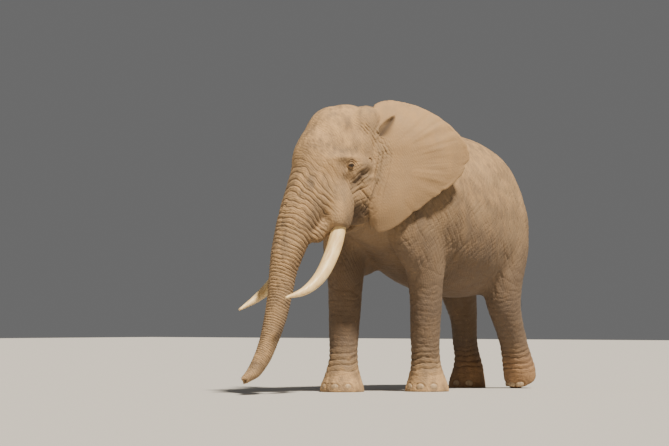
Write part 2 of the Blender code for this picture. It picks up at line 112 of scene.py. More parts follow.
PUSHING_LEG = (
    (0.30, -1.92, 2.40, 0.16, 0.25),
    (0.37, -1.88, 2.10, 0.25, 0.33),
    (0.41, -1.80, 1.70, 0.26, 0.37),
    (0.43, -1.74, 1.35, 0.23, 0.32),
    (0.43, -1.76, 1.08, 0.20, 0.26),
    (0.41, -1.88, 0.82, 0.175, 0.20),
    (0.39, -2.02, 0.58, 0.165, 0.175),
    (0.37, -2.11, 0.40, 0.17, 0.185),
    (0.36, -2.17, 0.27, 0.185, 0.205),
    (0.355, -2.21, 0.17, 0.195, 0.205),
    (0.35, -2.26, 0.085, 0.185, 0.19),
)
TAIL = (
    (0, -2.12, 2.66, 0.10, 0.10),
    (0, -2.36, 2.52, 0.085, 0.085),
    (0.01, -2.50, 2.28, 0.062, 0.062),
    (0.02, -2.55, 1.95, 0.046, 0.046),
    (0.03, -2.57, 1.60, 0.036, 0.036),
    (0.04, -2.57, 1.28, 0.028, 0.028),
)
TRUNK = (
    (0, 0.18, 0.30, 0.28, 0.34),
    (0, 0.35, 0.03, 0.33, 0.36),
    (0, 0.52, -0.24, 0.31, 0.31),
    (0, 0.68, -0.50, 0.275, 0.25),
    (0, 0.81, -0.76, 0.235, 0.21),
    (0, 0.92, -1.02, 0.19, 0.18),
    (0, 0.99, -1.30, 0.155, 0.155),
    (0, 1.05, -1.60, 0.135, 0.135),
    (0, 1.13, -1.88, 0.115, 0.115),
    (0, 1.23, -2.12, 0.10, 0.098),
    (0, 1.37, -2.33, 0.085, 0.082),
    (0, 1.54, -2.45, 0.072, 0.062),
)
TUSK_LEFT = (
    (0.25, 0.36, -0.56, 0.070, 0.070),
    (0.28, 0.41, -0.74, 0.084, 0.084),
    (0.33, 0.53, -1.00, 0.084, 0.084),
    (0.38, 0.74, -1.28, 0.073, 0.073),
    (0.40, 0.98, -1.45, 0.048, 0.048),
    (0.38, 1.24, -1.53, 0.012, 0.012),
)
TUSK_RIGHT = (
    (0.25, 0.36, -0.56, 0.070, 0.070),
    (0.28, 0.41, -0.74, 0.084, 0.084),
    (0.33, 0.55, -1.02, 0.084, 0.084),
    (0.38, 0.78, -1.32, 0.073, 0.073),
    (0.41, 1.02, -1.52, 0.048, 0.048),
    (0.41, 1.28, -1.66, 0.012, 0.012),
)
TUSK_SHEATH = (
    (0.17, 0.22, -0.05, 0.17, 0.20),
    (0.22, 0.32, -0.35, 0.17, 0.20),
    (0.265, 0.40, -0.62, 0.145, 0.17),
    (0.28, 0.42, -0.74, 0.125, 0.14),
)
JAW = (
    (0, -0.10, -0.45, 0.28, 0.30),
    (0, 0.10, -0.60, 0.23, 0.20),
    (0, 0.30, -0.74, 0.15, 0.14),
    (0, 0.46, -0.82, 0.075, 0.08),
    (0, 0.55, -0.86, 0.035, 0.035),
)
HEAD_MASSES = (
    ((0, 0.08, 0.17), (0.40, 0.46, 0.51)),
    ((0, 0.29, 0.15), (0.34, 0.33, 0.50)),
    ((0, 0.40, -0.05), (0.34, 0.37, 0.52)),
    ((0.25, 0.10, -0.34), (0.18, 0.30, 0.37)),
    ((0.26, 0.22, -0.04), (0.16, 0.40, 0.22)),
    ((0.20, 0.42, -0.30), (0.16, 0.26, 0.40)),
)
BODY_MASSES = (
    ((0.40, -0.02, 2.12), (0.22, 0.42, 0.74)),
    ((0.43, -0.12, 1.90), (0.23, 0.46, 0.58)),
    ((0, 0.34, 2.80), (0.34, 0.50, 0.49)),
    ((0.28, -1.82, 2.25), (0.26, 0.38, 0.46)),
)
EYE = (0.41, 0.385, -0.045)
EYE_RADIUS = 0.032
EAR_ROOT = (0.42, -0.08, 0.0)
EAR_FLARE = {1: math.radians(20), -1: math.radians(56)}
EAR_DROP = {1: 0.0, -1: 0.07}  # how much lower the ear hangs
EAR_LEAN = {1: 1.0, -1: 0.25}  # how far its top leans in over the neck
EAR_ROOT_LINE = (
    (-0.08, 0.50, -0.13),
    (-0.05, 0.30, -0.05),
    (-0.05, 0.05, -0.02),
    (-0.08, -0.18, -0.02),
    (-0.12, -0.36, -0.03),
)
EAR_RIM = (
    (-0.04, 0.60, -0.18),
    (0.04, 0.69, -0.23),
    (0.23, 0.73, -0.24),
    (0.47, 0.69, -0.19),
    (0.68, 0.59, -0.12),
    (0.88, 0.44, -0.06),
    (1.04, 0.26, -0.02),
    (1.09, 0.08, -0.02),
    (0.99, -0.12, -0.01),
    (0.80, -0.29, 0.00),
    (0.58, -0.44, 0.00),
    (0.36, -0.60, -0.01),
    (0.16, -0.74, -0.03),
    (0.00, -0.79, -0.05),
    (-0.10, -0.70, -0.05),
)
EAR_CUP = 0.05  # how far its middle bulges outward
EAR_THICKNESS = (0.050, 0.020)  # at the root, at the rim
FEET = {
    "fore_left": ((0.335, -0.37), 4, 0.95),
    "fore_right": ((-0.335, 0.37), 4, 0.95),
    "hind_left": ((0.35, -2.22), 3, 0.6),
    "hind_right": ((-0.315, -2.05), 3, 0.7),
}

# ---------------------------------------------------------------- the finish of the skin, metres
SKIN_VOXEL = 0.010
EAR_GRID = (14, 97)
# Nicks in each ear's rim: how far along it, and how deep.
EAR_NICKS = {
    1: ((0.52, 0.035), (0.66, 0.03), (0.71, 0.02), (0.80, 0.025)),
    -1: ((0.45, 0.03), (0.63, 0.04), (0.78, 0.02)),
}
NICK_WIDTH = 0.009
EAR_POCKET = ((0.01, 0.31), (0.19, 0.52))  # its two ends, back and up the ear
POCKET_SINK, POCKET_RIDGE = 0.022, 0.034

# Bones and hollows on the head's frame and on the body's: centre, reach and height, alike on both sides.
FACE_FORMS = (
    ((0.41, 0.41, 0.042), (0.16, 0.15, 0.038), 0.030),
    ((0.43, 0.39, -0.060), (0.16, 0.10, 0.060), -0.020),
    ((0.40, 0.29, 0.010), (0.20, 0.045, 0.085), -0.018),
    ((0.40, 0.16, -0.30), (0.25, 0.12, 0.13), -0.040),
    ((0.42, 0.13, -0.04), (0.25, 0.11, 0.075), 0.026),
    ((0.42, 0.10, -0.17), (0.25, 0.13, 0.030), 0.014),
    ((0.36, 0.20, 0.42), (0.20, 0.16, 0.17), -0.028),
    ((0.36, 0.44, -0.45), (0.20, 0.15, 0.24), 0.026),
    ((0.10, 0.55, 0.10), (0.12, 0.30, 0.16), 0.012),
    ((0.30, 0.60, -0.20), (0.12, 0.12, 0.20), -0.014),
)
# The cheek's sharp rear edge over the tusk's socket: how far forward it lies, and the recess behind it.
CHEEK_EDGE = ((-0.84, 0.275), (-0.70, 0.268), (-0.42, 0.274), (-0.26, 0.370), (-0.11, 0.490))
CHEEK_STEP = 0.040
CHEEK_RECESS = (
    (-0.90, 0.0),
    (-0.80, 0.10),
    (-0.68, 0.125),
    (-0.55, 0.105),
    (-0.42, 0.050),
    (-0.30, 0.028),
    (-0.14, 0.0),
)
# The line down the front of the ear's root that its long folds follow: up and forward.
ROOT_FOLDS = (
    (-0.70, 0.12),
    (-0.52, 0.061),
    (-0.20, -0.045),
    (0.10, -0.105),
    (0.28, -0.02),
    (0.38, 0.07),
    (0.50, 0.20),
)
# The skin drawn from the temple onto the top of the ear.
EAR_BRIDGE = (((0.27, -0.03, 0.41), (0.13, 0.25, 0.245)),)
# The upper lip where it hangs from the trunk's root over the corner of the mouth.
UPPER_LIP = (((0.21, 0.52, -0.74), (0.085, 0.13, 0.09)), ((0.17, 0.64, -0.82), (0.085, 0.12, 0.10)))
EAR_HUB = (-0.15, -0.05)  # where the ear's furrows fan out from, back and up it
BODY_FORMS = (
    ((0.60, -0.62, 2.10), (0.40, 0.09, 0.50), -0.020),
    ((0.60, -0.42, 2.05), (0.40, 0.13, 0.45), 0.014),
    ((0.40, 0.02, 1.95), (0.50, 0.06, 0.30), -0.016),
    ((0, -1.0, 3.1), (0.10, 1.1, 0.3), 0.022),
    ((0.45, -0.10, 2.65), (0.30, 0.10, 0.35), 0.016),
    ((0.45, -0.75, 2.2), (0.50, 0.22, 0.60), -0.022),
    ((0.40, -1.90, 2.70), (0.20, 0.12, 0.16), 0.020),
    ((0.62, -1.35, 2.0), (0.40, 0.22, 0.50), -0.020),
)
FELT = 0.02  # a share too small to work on
RING_REACH, RING_SPACING, RING_DEPTH = 1.9, 0.080, 0.024  # the trunk's rings narrow toward its tip
RING_START = 0.4  # how far down the trunk they have their full spacing and depth
RING_CREST = 0.3  # how much of a ring swells above the plain skin
CROWDED = {"fore": 0.36, "hind": 0.34}  # how high a leg's folds crowd together
EAR_SKIN = (0.02, 0.05)  # how far from the middle of an ear its own skin ends
FURROW_DEPTH = 0.024
TEMPLE_HOLLOW = ((0.38, 0.17, -0.36), (0.25, 0.13, 0.20))
SMOOTH_CHEEK = ((0.36, 0.36, -0.50), (0.16, 0.19, 0.22))
# Families of roughly level lines: depth, spacing, course, seed and tint, the painted shade in their bottoms.
HOLLOW_LINES = ((0.026, 0.060, (0, 1, 0.9), 41, 0.9), (0.022, 0.055, (0, 1, -0.75), 141, 0.9))
FACE_LINES = ((0.0022, 0.034, (0, 0.7, 0.7), 47, 0.06), (0.0018, 0.030, (0, 0.5, -0.9), 147, 0.06))
FLANK_LINES = ((0.0085, 0.052, (0, -0.52, -0.85), 51, 0.22), (0.0070, 0.060, (0, 0.72, -0.70), 151, 0.22))
# Creased places: centre, reach, depth, and the creases' spacing, course, seed, stretch, sharpness and tint, the
# painted shade in them.
FACE_CREASES = (
    ((0.26, 0.66, -0.80), (0.20, 0.14, 0.13), 0.011, 0.050, (0.3, 1, 0.5), 43, 2.0, 0.30, 0.7),
    ((0.42, 0.22, -0.05), (0.25, 0.11, 0.10), 0.006, 0.045, (0, 1, -0.35), 45, 3.0, 0.28, 0.5),
    ((0.40, 0.36, -0.17), (0.25, 0.12, 0.07), 0.005, 0.045, (0, -0.6, -1), 46, 4.0, 0.25, 0.5),
    ((0.10, 0.25, -0.80), (0.25, 0.40, 0.20), 0.008, 0.060, (1, 0.3, 0), 48, 3.0, 0.25, 0.3),
)
# The same on the body, with how much an ear lying near stills them after the reach.
BODY_CREASES = (
    ((0.55, -0.42, 2.15), (0.9, 0.32, 0.55), 0, 0.013, 0.11, (0, -0.22, -1), 53, 6.0, 0.25, 0.5),
    ((0.50, -0.50, 1.50), (0.5, 0.22, 0.30), 0, 0.014, 0.10, (0, 0.50, -1), 54, 5.0, 0.25, 0.6),
    ((0.50, -1.45, 1.45), (0.5, 0.20, 0.38), 0, 0.014, 0.11, (0, -0.45, -1), 55, 5.0, 0.25, 0.6),
    ((0.35, 0.15, 2.20), (0.5, 0.35, 0.70), 0.7, 0.012, 0.10, (0, 0.20, -1), 57, 5.0, 0.25, 0.5),
)
LID_OPENING = (0.033, 0.018, 0.013)  # half its width, its rise and its fall
LID_TILT, LID_THICKNESS, LID_RIM = -0.10, 0.004, 0.0028
# Folds round the eye: how far back the middle lies, half the fold's span, how high it arches, and
# its own width and depth.
LID_FOLDS = (
    (0.000, 0.043, 0.031, 0.0030, 0.0060),
    (0.006, 0.062, 0.047, 0.0042, 0.0090),
    (0.012, 0.085, 0.066, 0.0055, 0.0080),
    (0.002, 0.043, -0.025, 0.0032, 0.0060),
    (0.008, 0.060, -0.040, 0.0042, 0.0085),
    (0.016, 0.080, -0.060, 0.0055, 0.0070),
)
GLAND_FOLD = ((0.045, -0.085), (0.285, -0.275))  # its two ends, forward and up
# Folds along it: how far to its side, half width, depth and tint, the painted shade in them.
GLAND_LINES = ((0, 0.024, 0.022, 0.75), (0.045, 0.014, 0.012, 0.45), (-0.050, 0.014, 0.010, 0.4))
GLAND_SLIT = (0.045, 0.015)
# The gland's stain: its centre, forward and up, the turn of its long side and its reach.
GLAND_CENTRE, GLAND_SIZE = (0.19, -0.16), (0.035, 0.13)
GLAND_TURN = np.array(((0.8, -0.6), (0.6, 0.8)))
TRUNK_END, TRUNK_TOWARD = np.array((0, 1.54, -2.45)), np.array((0, 0.817, -0.577))
CHART_MARGIN = 0.02
BODY_ZONE, HEAD_ZONE, LEG_ZONES, EAR_ZONES, TAIL_ZONE = 0, 1, (2, 3, 4, 5), (6, 7), 8
UPRIGHT_ZONES = (*LEG_ZONES, TAIL_ZONE)
NAIL_SIZE, NAIL_UP = (0.050, 0.024, 0.042), 0.054
NAIL_SINK, NAIL_BASE = 0.008, 0.022  # how deep it sits in the toe, and how high its worn edge lies
HAIR_PATCH = 0.003
TAIL_HAIRS, LASHES, BRISTLES = 300, 52, 420

# ---------------------------------------------------------------- colours
HIDE_DARK, HIDE_LIGHT, HIDE_WARM = (0.165, 0.108, 0.060), (0.300, 0.196, 0.102), (0.325, 0.200, 0.096)
# The pale earth colour, also laid on as painted light where the skin faces up, and where it faces forward on the
# head.
DUST_AND_PAINTED_LIGHT, EAR_TINT, RUST = (0.66, 0.405, 0.182), (0.44, 0.268, 0.120), (0.22, 0.100, 0.042)
# Painted shade: the dark of the underside and lower body, and the dark in the cracks between wrinkles and
# pebbles.
UNDERSIDE_SHADE, CRACK_SHADE = (0.10, 0.068, 0.048), (0.13, 0.085, 0.055)
# Painted shade in the creases, with the lids' own dark rims; then the gland's stain, also laid on as painted
# shade behind the cheek.
CREASE_SHADE_AND_DARK_LIDS, STAIN_AND_SHADE = (0.045, 0.028, 0.018), (0.07, 0.045, 0.03)
IVORY, IVORY_DARK, IVORY_WARM = (0.88, 0.66, 0.33), (0.68, 0.44, 0.19), (0.80, 0.53, 0.22)
NAIL_LIGHT, NAIL_DARK = (0.46, 0.32, 0.18), (0.27, 0.185, 0.11)
PUPIL, IRIS_DARK, IRIS_LIGHT = (0.003, 0.002, 0.002), (0.035, 0.015, 0.006), (0.11, 0.048, 0.016)
IRIS_RIM, EYE_WHITE = (0.010, 0.006, 0.004), (0.035, 0.020, 0.013)
HAIR_DARK, HAIR_LIGHT = (0.012, 0.009, 0.007), (0.05, 0.035, 0.025)
FLOOR, SKY = (0.46, 0.445, 0.42), (0.88, 0.88, 0.88)

# ---------------------------------------------------------------- the view and its light
CAMERA_FOOT = (0.35, -0.37, 0)
CAMERA_TURN, CAMERA_FAR, CAMERA_HEIGHT = 37, 30, 0.85
CAMERA_PAN, CAMERA_TILT, CAMERA_LENS = 2.07, 2.10, 139.2
# Suns: the way their light travels, strength, angle across and colour.
SUNS = {
    "key": ((-0.58, 0.16, -1.0), 8.2, 6, (1.0, 0.91, 0.77)),
    "fill": ((0.3, 0.7, -0.35), 0.2, 60, (0.95, 0.97, 1.0)),
}
SKY_STRENGTH = 0.17


def at(side, forward, up):
    """A Blender point from the animal's directions."""
    return Vector((side, -forward, up))


def head_matrix():
    """Carries a Blender point of the head's own frame to its place on the animal."""
    return Matrix.Translation(at(*EAR_CANAL)) @ Matrix.Rotation(HEAD_YAW, 4, "Z")


def smooth_stations(stations, per_gap):
    """Stations on a Catmull-Rom curve through the given ones."""
    rows = np.array(stations, float)
    rows = np.vstack([2 * rows[0] - rows[1], rows, 2 * rows[-1] - rows[-2]])
    out = []
    for i in range(1, len(rows) - 2):
        a, b, c, d = rows[i - 1 : i + 3]
        for t in np.arange(per_gap) / per_gap:
            square, cube = 2 * a - 5 * b + 4 * c - d, 3 * b - a - 3 * c + d
            out.append(0.5 * (2 * b + (c - a) * t + square * t**2 + cube * t**3))
    out.append(rows[-2])
    return np.array(out)


def linked(name, bm):
    """An object in the scene from a bmesh, all in triangles so that every face is flat."""
    mesh = bpy.data.meshes.new(name)
    bmesh.ops.triangulate(bm, faces=bm.faces)
    bmesh.ops.recalc_face_normals(bm, faces=bm.faces)
    bm.to_mesh(mesh)
    bm.free()
    obj = bpy.data.objects.new(name, mesh)
    bpy.context.scene.collection.objects.link(obj)
    return obj


def loft(name, rings):
    """A closed mesh object through rings of points."""
    bm = bmesh.new()
    loops = [[bm.verts.new(p) for p in ring] for ring in rings]
    for low, high in zip(loops, loops[1:]):
        for i in range(len(low)):
            j = (i + 1) % len(low)
            bm.faces.new((low[i], low[j], high[j], high[i]))
    bm.faces.new(reversed(loops[0]))
    bm.faces.new(loops[-1])
    return linked(name, bm)


def circle(count):
    """The cosine and sine of evenly spaced angles."""
    return [(math.cos(2 * math.pi * k / count), math.sin(2 * math.pi * k / count)) for k in range(count)]


def tube(name, stations, mirror=1, around=28, per_gap=4):
    """A tube of elliptical sections, each square to the line through the stations."""
    rows = smooth_stations(stations, per_gap)
    centres = [at(mirror * r[0], r[1], r[2]) for r in rows]
    rings = []
    for i, centre in enumerate(centres):
        along = (centres[min(i + 1, len(rows) - 1)] - centres[max(i - 1, 0)]).normalized()
        across = (Vector((1, 0, 0)) - along * along.x).normalized()
        deep = along.cross(across)
        width, depth = rows[i][3:]
        rings.append([centre + across * width * c + deep * depth * s for c, s in circle(around)])
    return loft(name, rings)


def torso():
    """The barrel, from egg-shaped upright sections."""
    rings = []
    for forward, top, bottom, half in smooth_stations(TORSO, 4):
        middle, tall = (top + bottom) / 2, (top - bottom) / 2
        rings.append([at(half * s * (1 - EGG * c), forward, middle + tall * c) for c, s in circle(40)])
    return loft("torso", rings)


def ball(name, place, radii, segments, turn=0.0):
    """An ellipsoid at a Blender point, turned about the vertical."""
    bm = bmesh.new()
    bmesh.ops.create_uvsphere(bm, u_segments=segments, v_segments=segments * 2 // 3, radius=1)
    bmesh.ops.scale(bm, vec=radii, verts=bm.verts)
    matrix = Matrix.Translation(place) @ Matrix.Rotation(turn, 4, "Z")
    bmesh.ops.transform(bm, matrix=matrix, verts=bm.verts)
    return linked(name, bm)


def masses(forms):
    """An ellipsoid for each form, and its mirror image when it is off the midline."""
    made = []
    for (side, forward, up), radii in forms:
        for mirror in (1, -1) if side else (1,):
            made.append(ball("mass", at(mirror * side, forward, up), radii, 28))
    return made


def evaluated(obj):
    """Applies an object's modifiers and returns it."""
    graph = bpy.context.evaluated_depsgraph_get()
    mesh = bpy.data.meshes.new_from_object(obj.evaluated_get(graph))
    old = obj.data
    obj.modifiers.clear()
    obj.data = mesh
    bpy.data.meshes.remove(old)
    return obj


def joined(name, objects):
    """One object holding the meshes of the given ones."""
    bm = bmesh.new()
    for obj in objects:
        bm.from_mesh(obj.data)
        bpy.data.objects.remove(obj)
    return linked(name, bm)


def head_parts():
    """The skull, trunk, jaw and tusk sheaths, overlapping, in their place on the animal."""
    parts = masses(HEAD_MASSES)
    parts += [tube("tusk_sheath", TUSK_SHEATH, side) for side in (1, -1)]
    parts += [tube("trunk", TRUNK), tube("jaw", JAW)]
    for part in parts:
        part.data.transform(head_matrix())
    return parts


def posed(stations, elbow, foot):
    """The upright leg's stations slanted so the elbow and foot stand forward by the given amounts."""
    heights, leans = (0, ELBOW_HEIGHT, SHOULDER_HEIGHT), (foot, elbow, 0)
    return [(s, f + float(np.interp(u, heights, leans)), u, a, b) for s, f, u, a, b in stations]


def legs():
    """Both forelegs slanted into the stride, the right hind leg upright and the left pushing off."""
    return [
        tube("foreleg_left", posed(FORE_LEG, -0.20, -0.37)),
        tube("foreleg_right", posed(FORE_LEG, 0.20, 0.37), -1),
        tube("hindleg_right", [(s, f - HIND_AXIS, u, a, b) for s, f, u, a, b in HIND_LEG], -1),
        tube("hindleg_left", PUSHING_LEG),
    ]


def points_of(obj):
    """The object's vertices as rows of left, forward and up."""
    co = np.empty(len(obj.data.vertices) * 3)
    obj.data.vertices.foreach_get("co", co)
    return co.reshape(-1, 3) * (1, -1, 1)


def soften(obj, iterations, weights=None):
    """Smooths the mesh, each vertex by its own share when weights are given."""
    tool = obj.modifiers.new("soften", "SMOOTH")
    tool.factor, tool.iterations = 0.5, iterations
    if weights is not None:
        group = obj.vertex_groups.new(name="soften")
        for share in range(1, 11):
            chosen = np.nonzero(np.round(weights * 10) == share)[0]
            group.add(chosen.tolist(), share / 10, "REPLACE")
        tool.vertex_group = "soften"
    evaluated(obj)
    obj.vertex_groups.clear()
    return obj


def step(x, low, high):
    """0 below low, 1 above high and smooth between them."""
    t = np.clip((x - low) / (high - low), 0, 1)
    return t * t * (3 - 2 * t)


def resampled(points, count):
    """Evenly spaced points on a smooth curve through the given ones."""
    line = smooth_stations(points, 8)
    steps = np.concatenate([[0], np.cumsum(np.linalg.norm(np.diff(line, axis=0), axis=1))])
    wanted = np.linspace(0, steps[-1], count)
    return np.stack([np.interp(wanted, steps, line[:, k]) for k in range(line.shape[1])], axis=1)


def fused(obj, voxel):
    """The object remeshed into one closed surface."""
    remesh = obj.modifiers.new("fuse", "REMESH")
    remesh.mode, remesh.voxel_size = "VOXEL", voxel
    return evaluated(obj)


def flesh():
    """The body without ears and tail, as the CAD has it, cut flat at the ground."""
    bridge = masses(EAR_BRIDGE + UPPER_LIP)
    for form in bridge:
        form.data.transform(head_matrix())
    forms = [torso(), tube("neck", NECK)] + legs() + masses(BODY_MASSES) + head_parts() + bridge
    whole = fused(joined("flesh", forms), FLESH_VOXEL)
    _, forward, up = points_of(whole).T
    soften(whole, BODY_SOFTENING, step(up, *LOWER_LEGS) * (1 - step(forward, *NECK_TO_FACE)))
    soften(whole, FACE_SOFTENING, step(up, *JAW_TO_FACE) * step(forward, *NECK_TO_FACE))
    soften(whole, SOFTENING)
    bm = bmesh.new()
    bm.from_mesh(whole.data)
    everything = bm.verts[:] + bm.edges[:] + bm.faces[:]
    bmesh.ops.bisect_plane(bm, geom=everything, plane_co=(0, 0, 0), plane_no=(0, 0, 1), clear_inner=True)
    bmesh.ops.holes_fill(bm, edges=[e for e in bm.edges if e.is_boundary])
    bpy.data.objects.remove(whole)
    return linked("flesh", bm)


def ear_sheet(side, rows, count):
    """The middle of the ear as rows of (back, up, out) from root to rim, with its thickness along them."""
    root, rim = resampled(EAR_ROOT_LINE, count), resampled(EAR_RIM, count)
    along = np.linspace(0, 1, rows)[:, None, None]
    sheet = root * (1 - along) + rim * along
    sheet[:, :, 2] = sheet[:, :, 2] * EAR_LEAN[side] + EAR_CUP * np.sin(math.pi * along[:, :, 0])
    sheet[:, :, 1] -= EAR_DROP[side]
    thick = EAR_THICKNESS[0] * (1 - along[:, :, 0]) + EAR_THICKNESS[1] * along[:, :, 0]
    return sheet, np.broadcast_to(thick, (rows, count))


def ear_directions(side):
    """The ear's back and out directions on the head, as (side, forward), before mirroring."""
    flare = EAR_FLARE[side]
    return np.array((math.sin(flare), -math.cos(flare))), np.array((math.cos(flare), math.sin(flare)))


def head_coords(p):
    """Points of the animal in the head's own frame."""
    d = p - EAR_CANAL
    c, s = math.cos(HEAD_YAW), math.sin(HEAD_YAW)
    return np.stack([c * d[:, 0] - s * d[:, 1], s * d[:, 0] + c * d[:, 1], d[:, 2]], 1)


def from_head(h):
    """Points of the head's frame on the animal."""
    c, s = math.cos(HEAD_YAW), math.sin(HEAD_YAW)
    h = np.asarray(h, float)
    return np.stack([c * h[:, 0] + s * h[:, 1], c * h[:, 1] - s * h[:, 0], h[:, 2]], 1) + EAR_CANAL


def head_ways(h):
    """Ways of the head's frame on the animal."""
    return from_head(h) - EAR_CANAL


def one_side(p):
    """Points with both sides laid on the left one."""
    return np.stack([np.abs(p[:, 0]), p[:, 1], p[:, 2]], 1)


def unit(v):
    """The way a vector points."""
    return v / np.linalg.norm(v)


# ---------------------------------------------------------------- noise
def scrambled(i, j, k, seed):
    """A whole number up to 2**30 that looks random for each cell."""
    n = i * 374761393 + j * 668265263 + k * 1440662683 + seed * 1274126177
    n = (n ^ (n >> 13)) * 1274126177
    n = (n ^ (n >> 17)) * 1103515245
    return (n ^ (n >> 15)) & 0x3FFFFFFF


def noise(p, seed=0):
    """Smooth gradient noise of about -1 to 1, with a grain of 1."""
    cell = np.floor(p).astype(np.int64)
    f = p - cell
    fade = f * f * f * (f * (f * 6 - 15) + 10)
    total = np.zeros(len(p))
    for corner in itertools.product((0, 1), repeat=3):
        h = scrambled(*(cell + corner).T, seed)
        slopes = np.stack([h & 1023, (h >> 10) & 1023, (h >> 20) & 1023], 1) / 511.5 - 1
        share = np.prod(np.where(corner, fade, 1 - fade), axis=1)
        total += share * ((f - corner) * slopes).sum(1)
    return total * 1.4


def stretched(p, spacing, run, stretch):
    """Points in a grain of the given spacing, drawn out along a direction."""
    run = unit(np.asarray(run, float))
    q = p / spacing
    return q - np.outer(q @ run, run) * (1 - 1 / stretch)


def creases(p, spacing, run, seed, stretch=4.0, sharp=0.22):
    """1 in the bottoms of long wandering creases that run one way, falling to 0 between them."""
    q = stretched(p, spacing, run, stretch)
    q = q + 0.35 * np.stack([noise(p / (spacing * 2.5), seed + k) for k in (71, 72, 73)], 1)
    return np.exp(-np.abs(noise(q, seed)) / sharp)


def hatched(p, spacing, run, seed):
    """1 in the bottoms of roughly level lines that run one way over a flank, wavering and broken."""
    _, ahead, up = unit(np.asarray(run, float))
    across = p[:, 1] * up - p[:, 2] * ahead
    phase = across / spacing + 0.40 * noise(p / (spacing * 3), seed)
    phase += 1.8 * noise(p / (spacing * 10), seed + 1)
    broken = step(noise(stretched(p, spacing * 1.3, run, 2.6), seed + 2), -0.35, 0.35)
    return broken * (1 - dome(phase, 0.45))


def dome(phase, roundness=0.55):
    """Folds once per unit of phase: 1 on their rounded crests and 0 in the sharp valleys."""
    return np.abs(np.sin(math.pi * phase)) ** roundness


def near(p, centre, radii):
    """1 at a centre, fading smoothly over the given radii."""
    return np.exp(-(((p - centre) / radii) ** 2).sum(1))


# ---------------------------------------------------------------- places on the animal
def trunk_coords(h):
    """Where points of the head's frame lie on the trunk: how far along it, how far below its axis,
    how far out (1 at its skin) and how thick it is there."""
    line = smooth_stations(TRUNK, 12)
    along = np.gradient(line[:, 1:3], axis=0)
    along /= np.linalg.norm(along, axis=1)[:, None]
    runs = np.concatenate([[0], np.cumsum(np.linalg.norm(np.diff(line[:, 1:3], axis=0), axis=1))])
    nearest = np.zeros(len(h), int)
    ahead = np.nonzero((h[:, 1] > 0.1) & (np.abs(h[:, 0]) < 0.7))[0]
    best = np.full(len(ahead), 1e9)
    for i, spot in enumerate(line[:, 1:3]):
        far = ((h[ahead, 1:] - spot) ** 2).sum(1)
        closer = far < best
        best[closer], nearest[ahead[closer]] = far[closer], i
    d = h[:, 1:] - line[nearest, 1:3]
    t = along[nearest]
    under = d[:, 0] * t[:, 1] - d[:, 1] * t[:, 0]
    out = np.hypot(h[:, 0] / line[nearest, 3], under / line[nearest, 4])
    return runs[nearest] + (d * t).sum(1), under, out, line[nearest, 4]


def leg_lines():
    """Each leg's name, side and stations."""
    hind = [(s, f - HIND_AXIS, u, a, b) for s, f, u, a, b in HIND_LEG]
    return (
        ("foreleg_left", 1, posed(FORE_LEG, -0.20, -0.37)),
        ("foreleg_right", -1, posed(FORE_LEG, 0.20, 0.37)),
        ("hindleg_left", 1, PUSHING_LEG),
        ("hindleg_right", -1, hind),
    )


def leg_coords(p, side, stations):
    """How far out and how far forward of a leg's axis points lie, and how far off it, 1 at its skin."""
    rows = np.array(stations)[::-1]
    s, f, a, b = (np.interp(p[:, 2], rows[:, 2], rows[:, k]) for k in (0, 1, 3, 4))
    out, ahead = side * p[:, 0] - s, p[:, 1] - f
    return out, ahead, np.hypot(out / a, ahead / b)


def ear_coords(h, side):
    """For points of the head's frame: places back and up the ear, its own root-to-rim and top-to-lobe shares,
    how far out of its middle they lie, and how far they are from it."""
    sheet, _ = ear_sheet(side, 40, 160)
    back, out = ear_directions(side)
    q = np.stack([side * h[:, 0] - EAR_ROOT[0], h[:, 1] - EAR_ROOT[1]], 1)
    local = np.stack([q @ back, h[:, 2], q @ out], 1)
    tree = kdtree.KDTree(sheet.shape[0] * sheet.shape[1])
    flat = sheet.reshape(-1, 3)
    for i, spot in enumerate(flat):
        tree.insert(spot, i)
    tree.balance()
    low, high = flat.min(0) - 0.06, flat.max(0) + 0.06
    close = np.nonzero(((local > low) & (local < high)).all(1))[0]
    found = [tree.find(local[i])[1:] for i in close]
    nearest = np.array([f[0] for f in found])
    far = np.full(len(h), 9.0)
    far[close] = [f[1] for f in found]
    shares = np.zeros((len(h), 2))
    shares[close, 0] = nearest // sheet.shape[1] / (sheet.shape[0] - 1)
    shares[close, 1] = nearest % sheet.shape[1] / (sheet.shape[1] - 1)
    height = np.zeros(len(h))
    height[close] = local[close, 2] - flat[nearest, 2]
    return local, shares, height, far


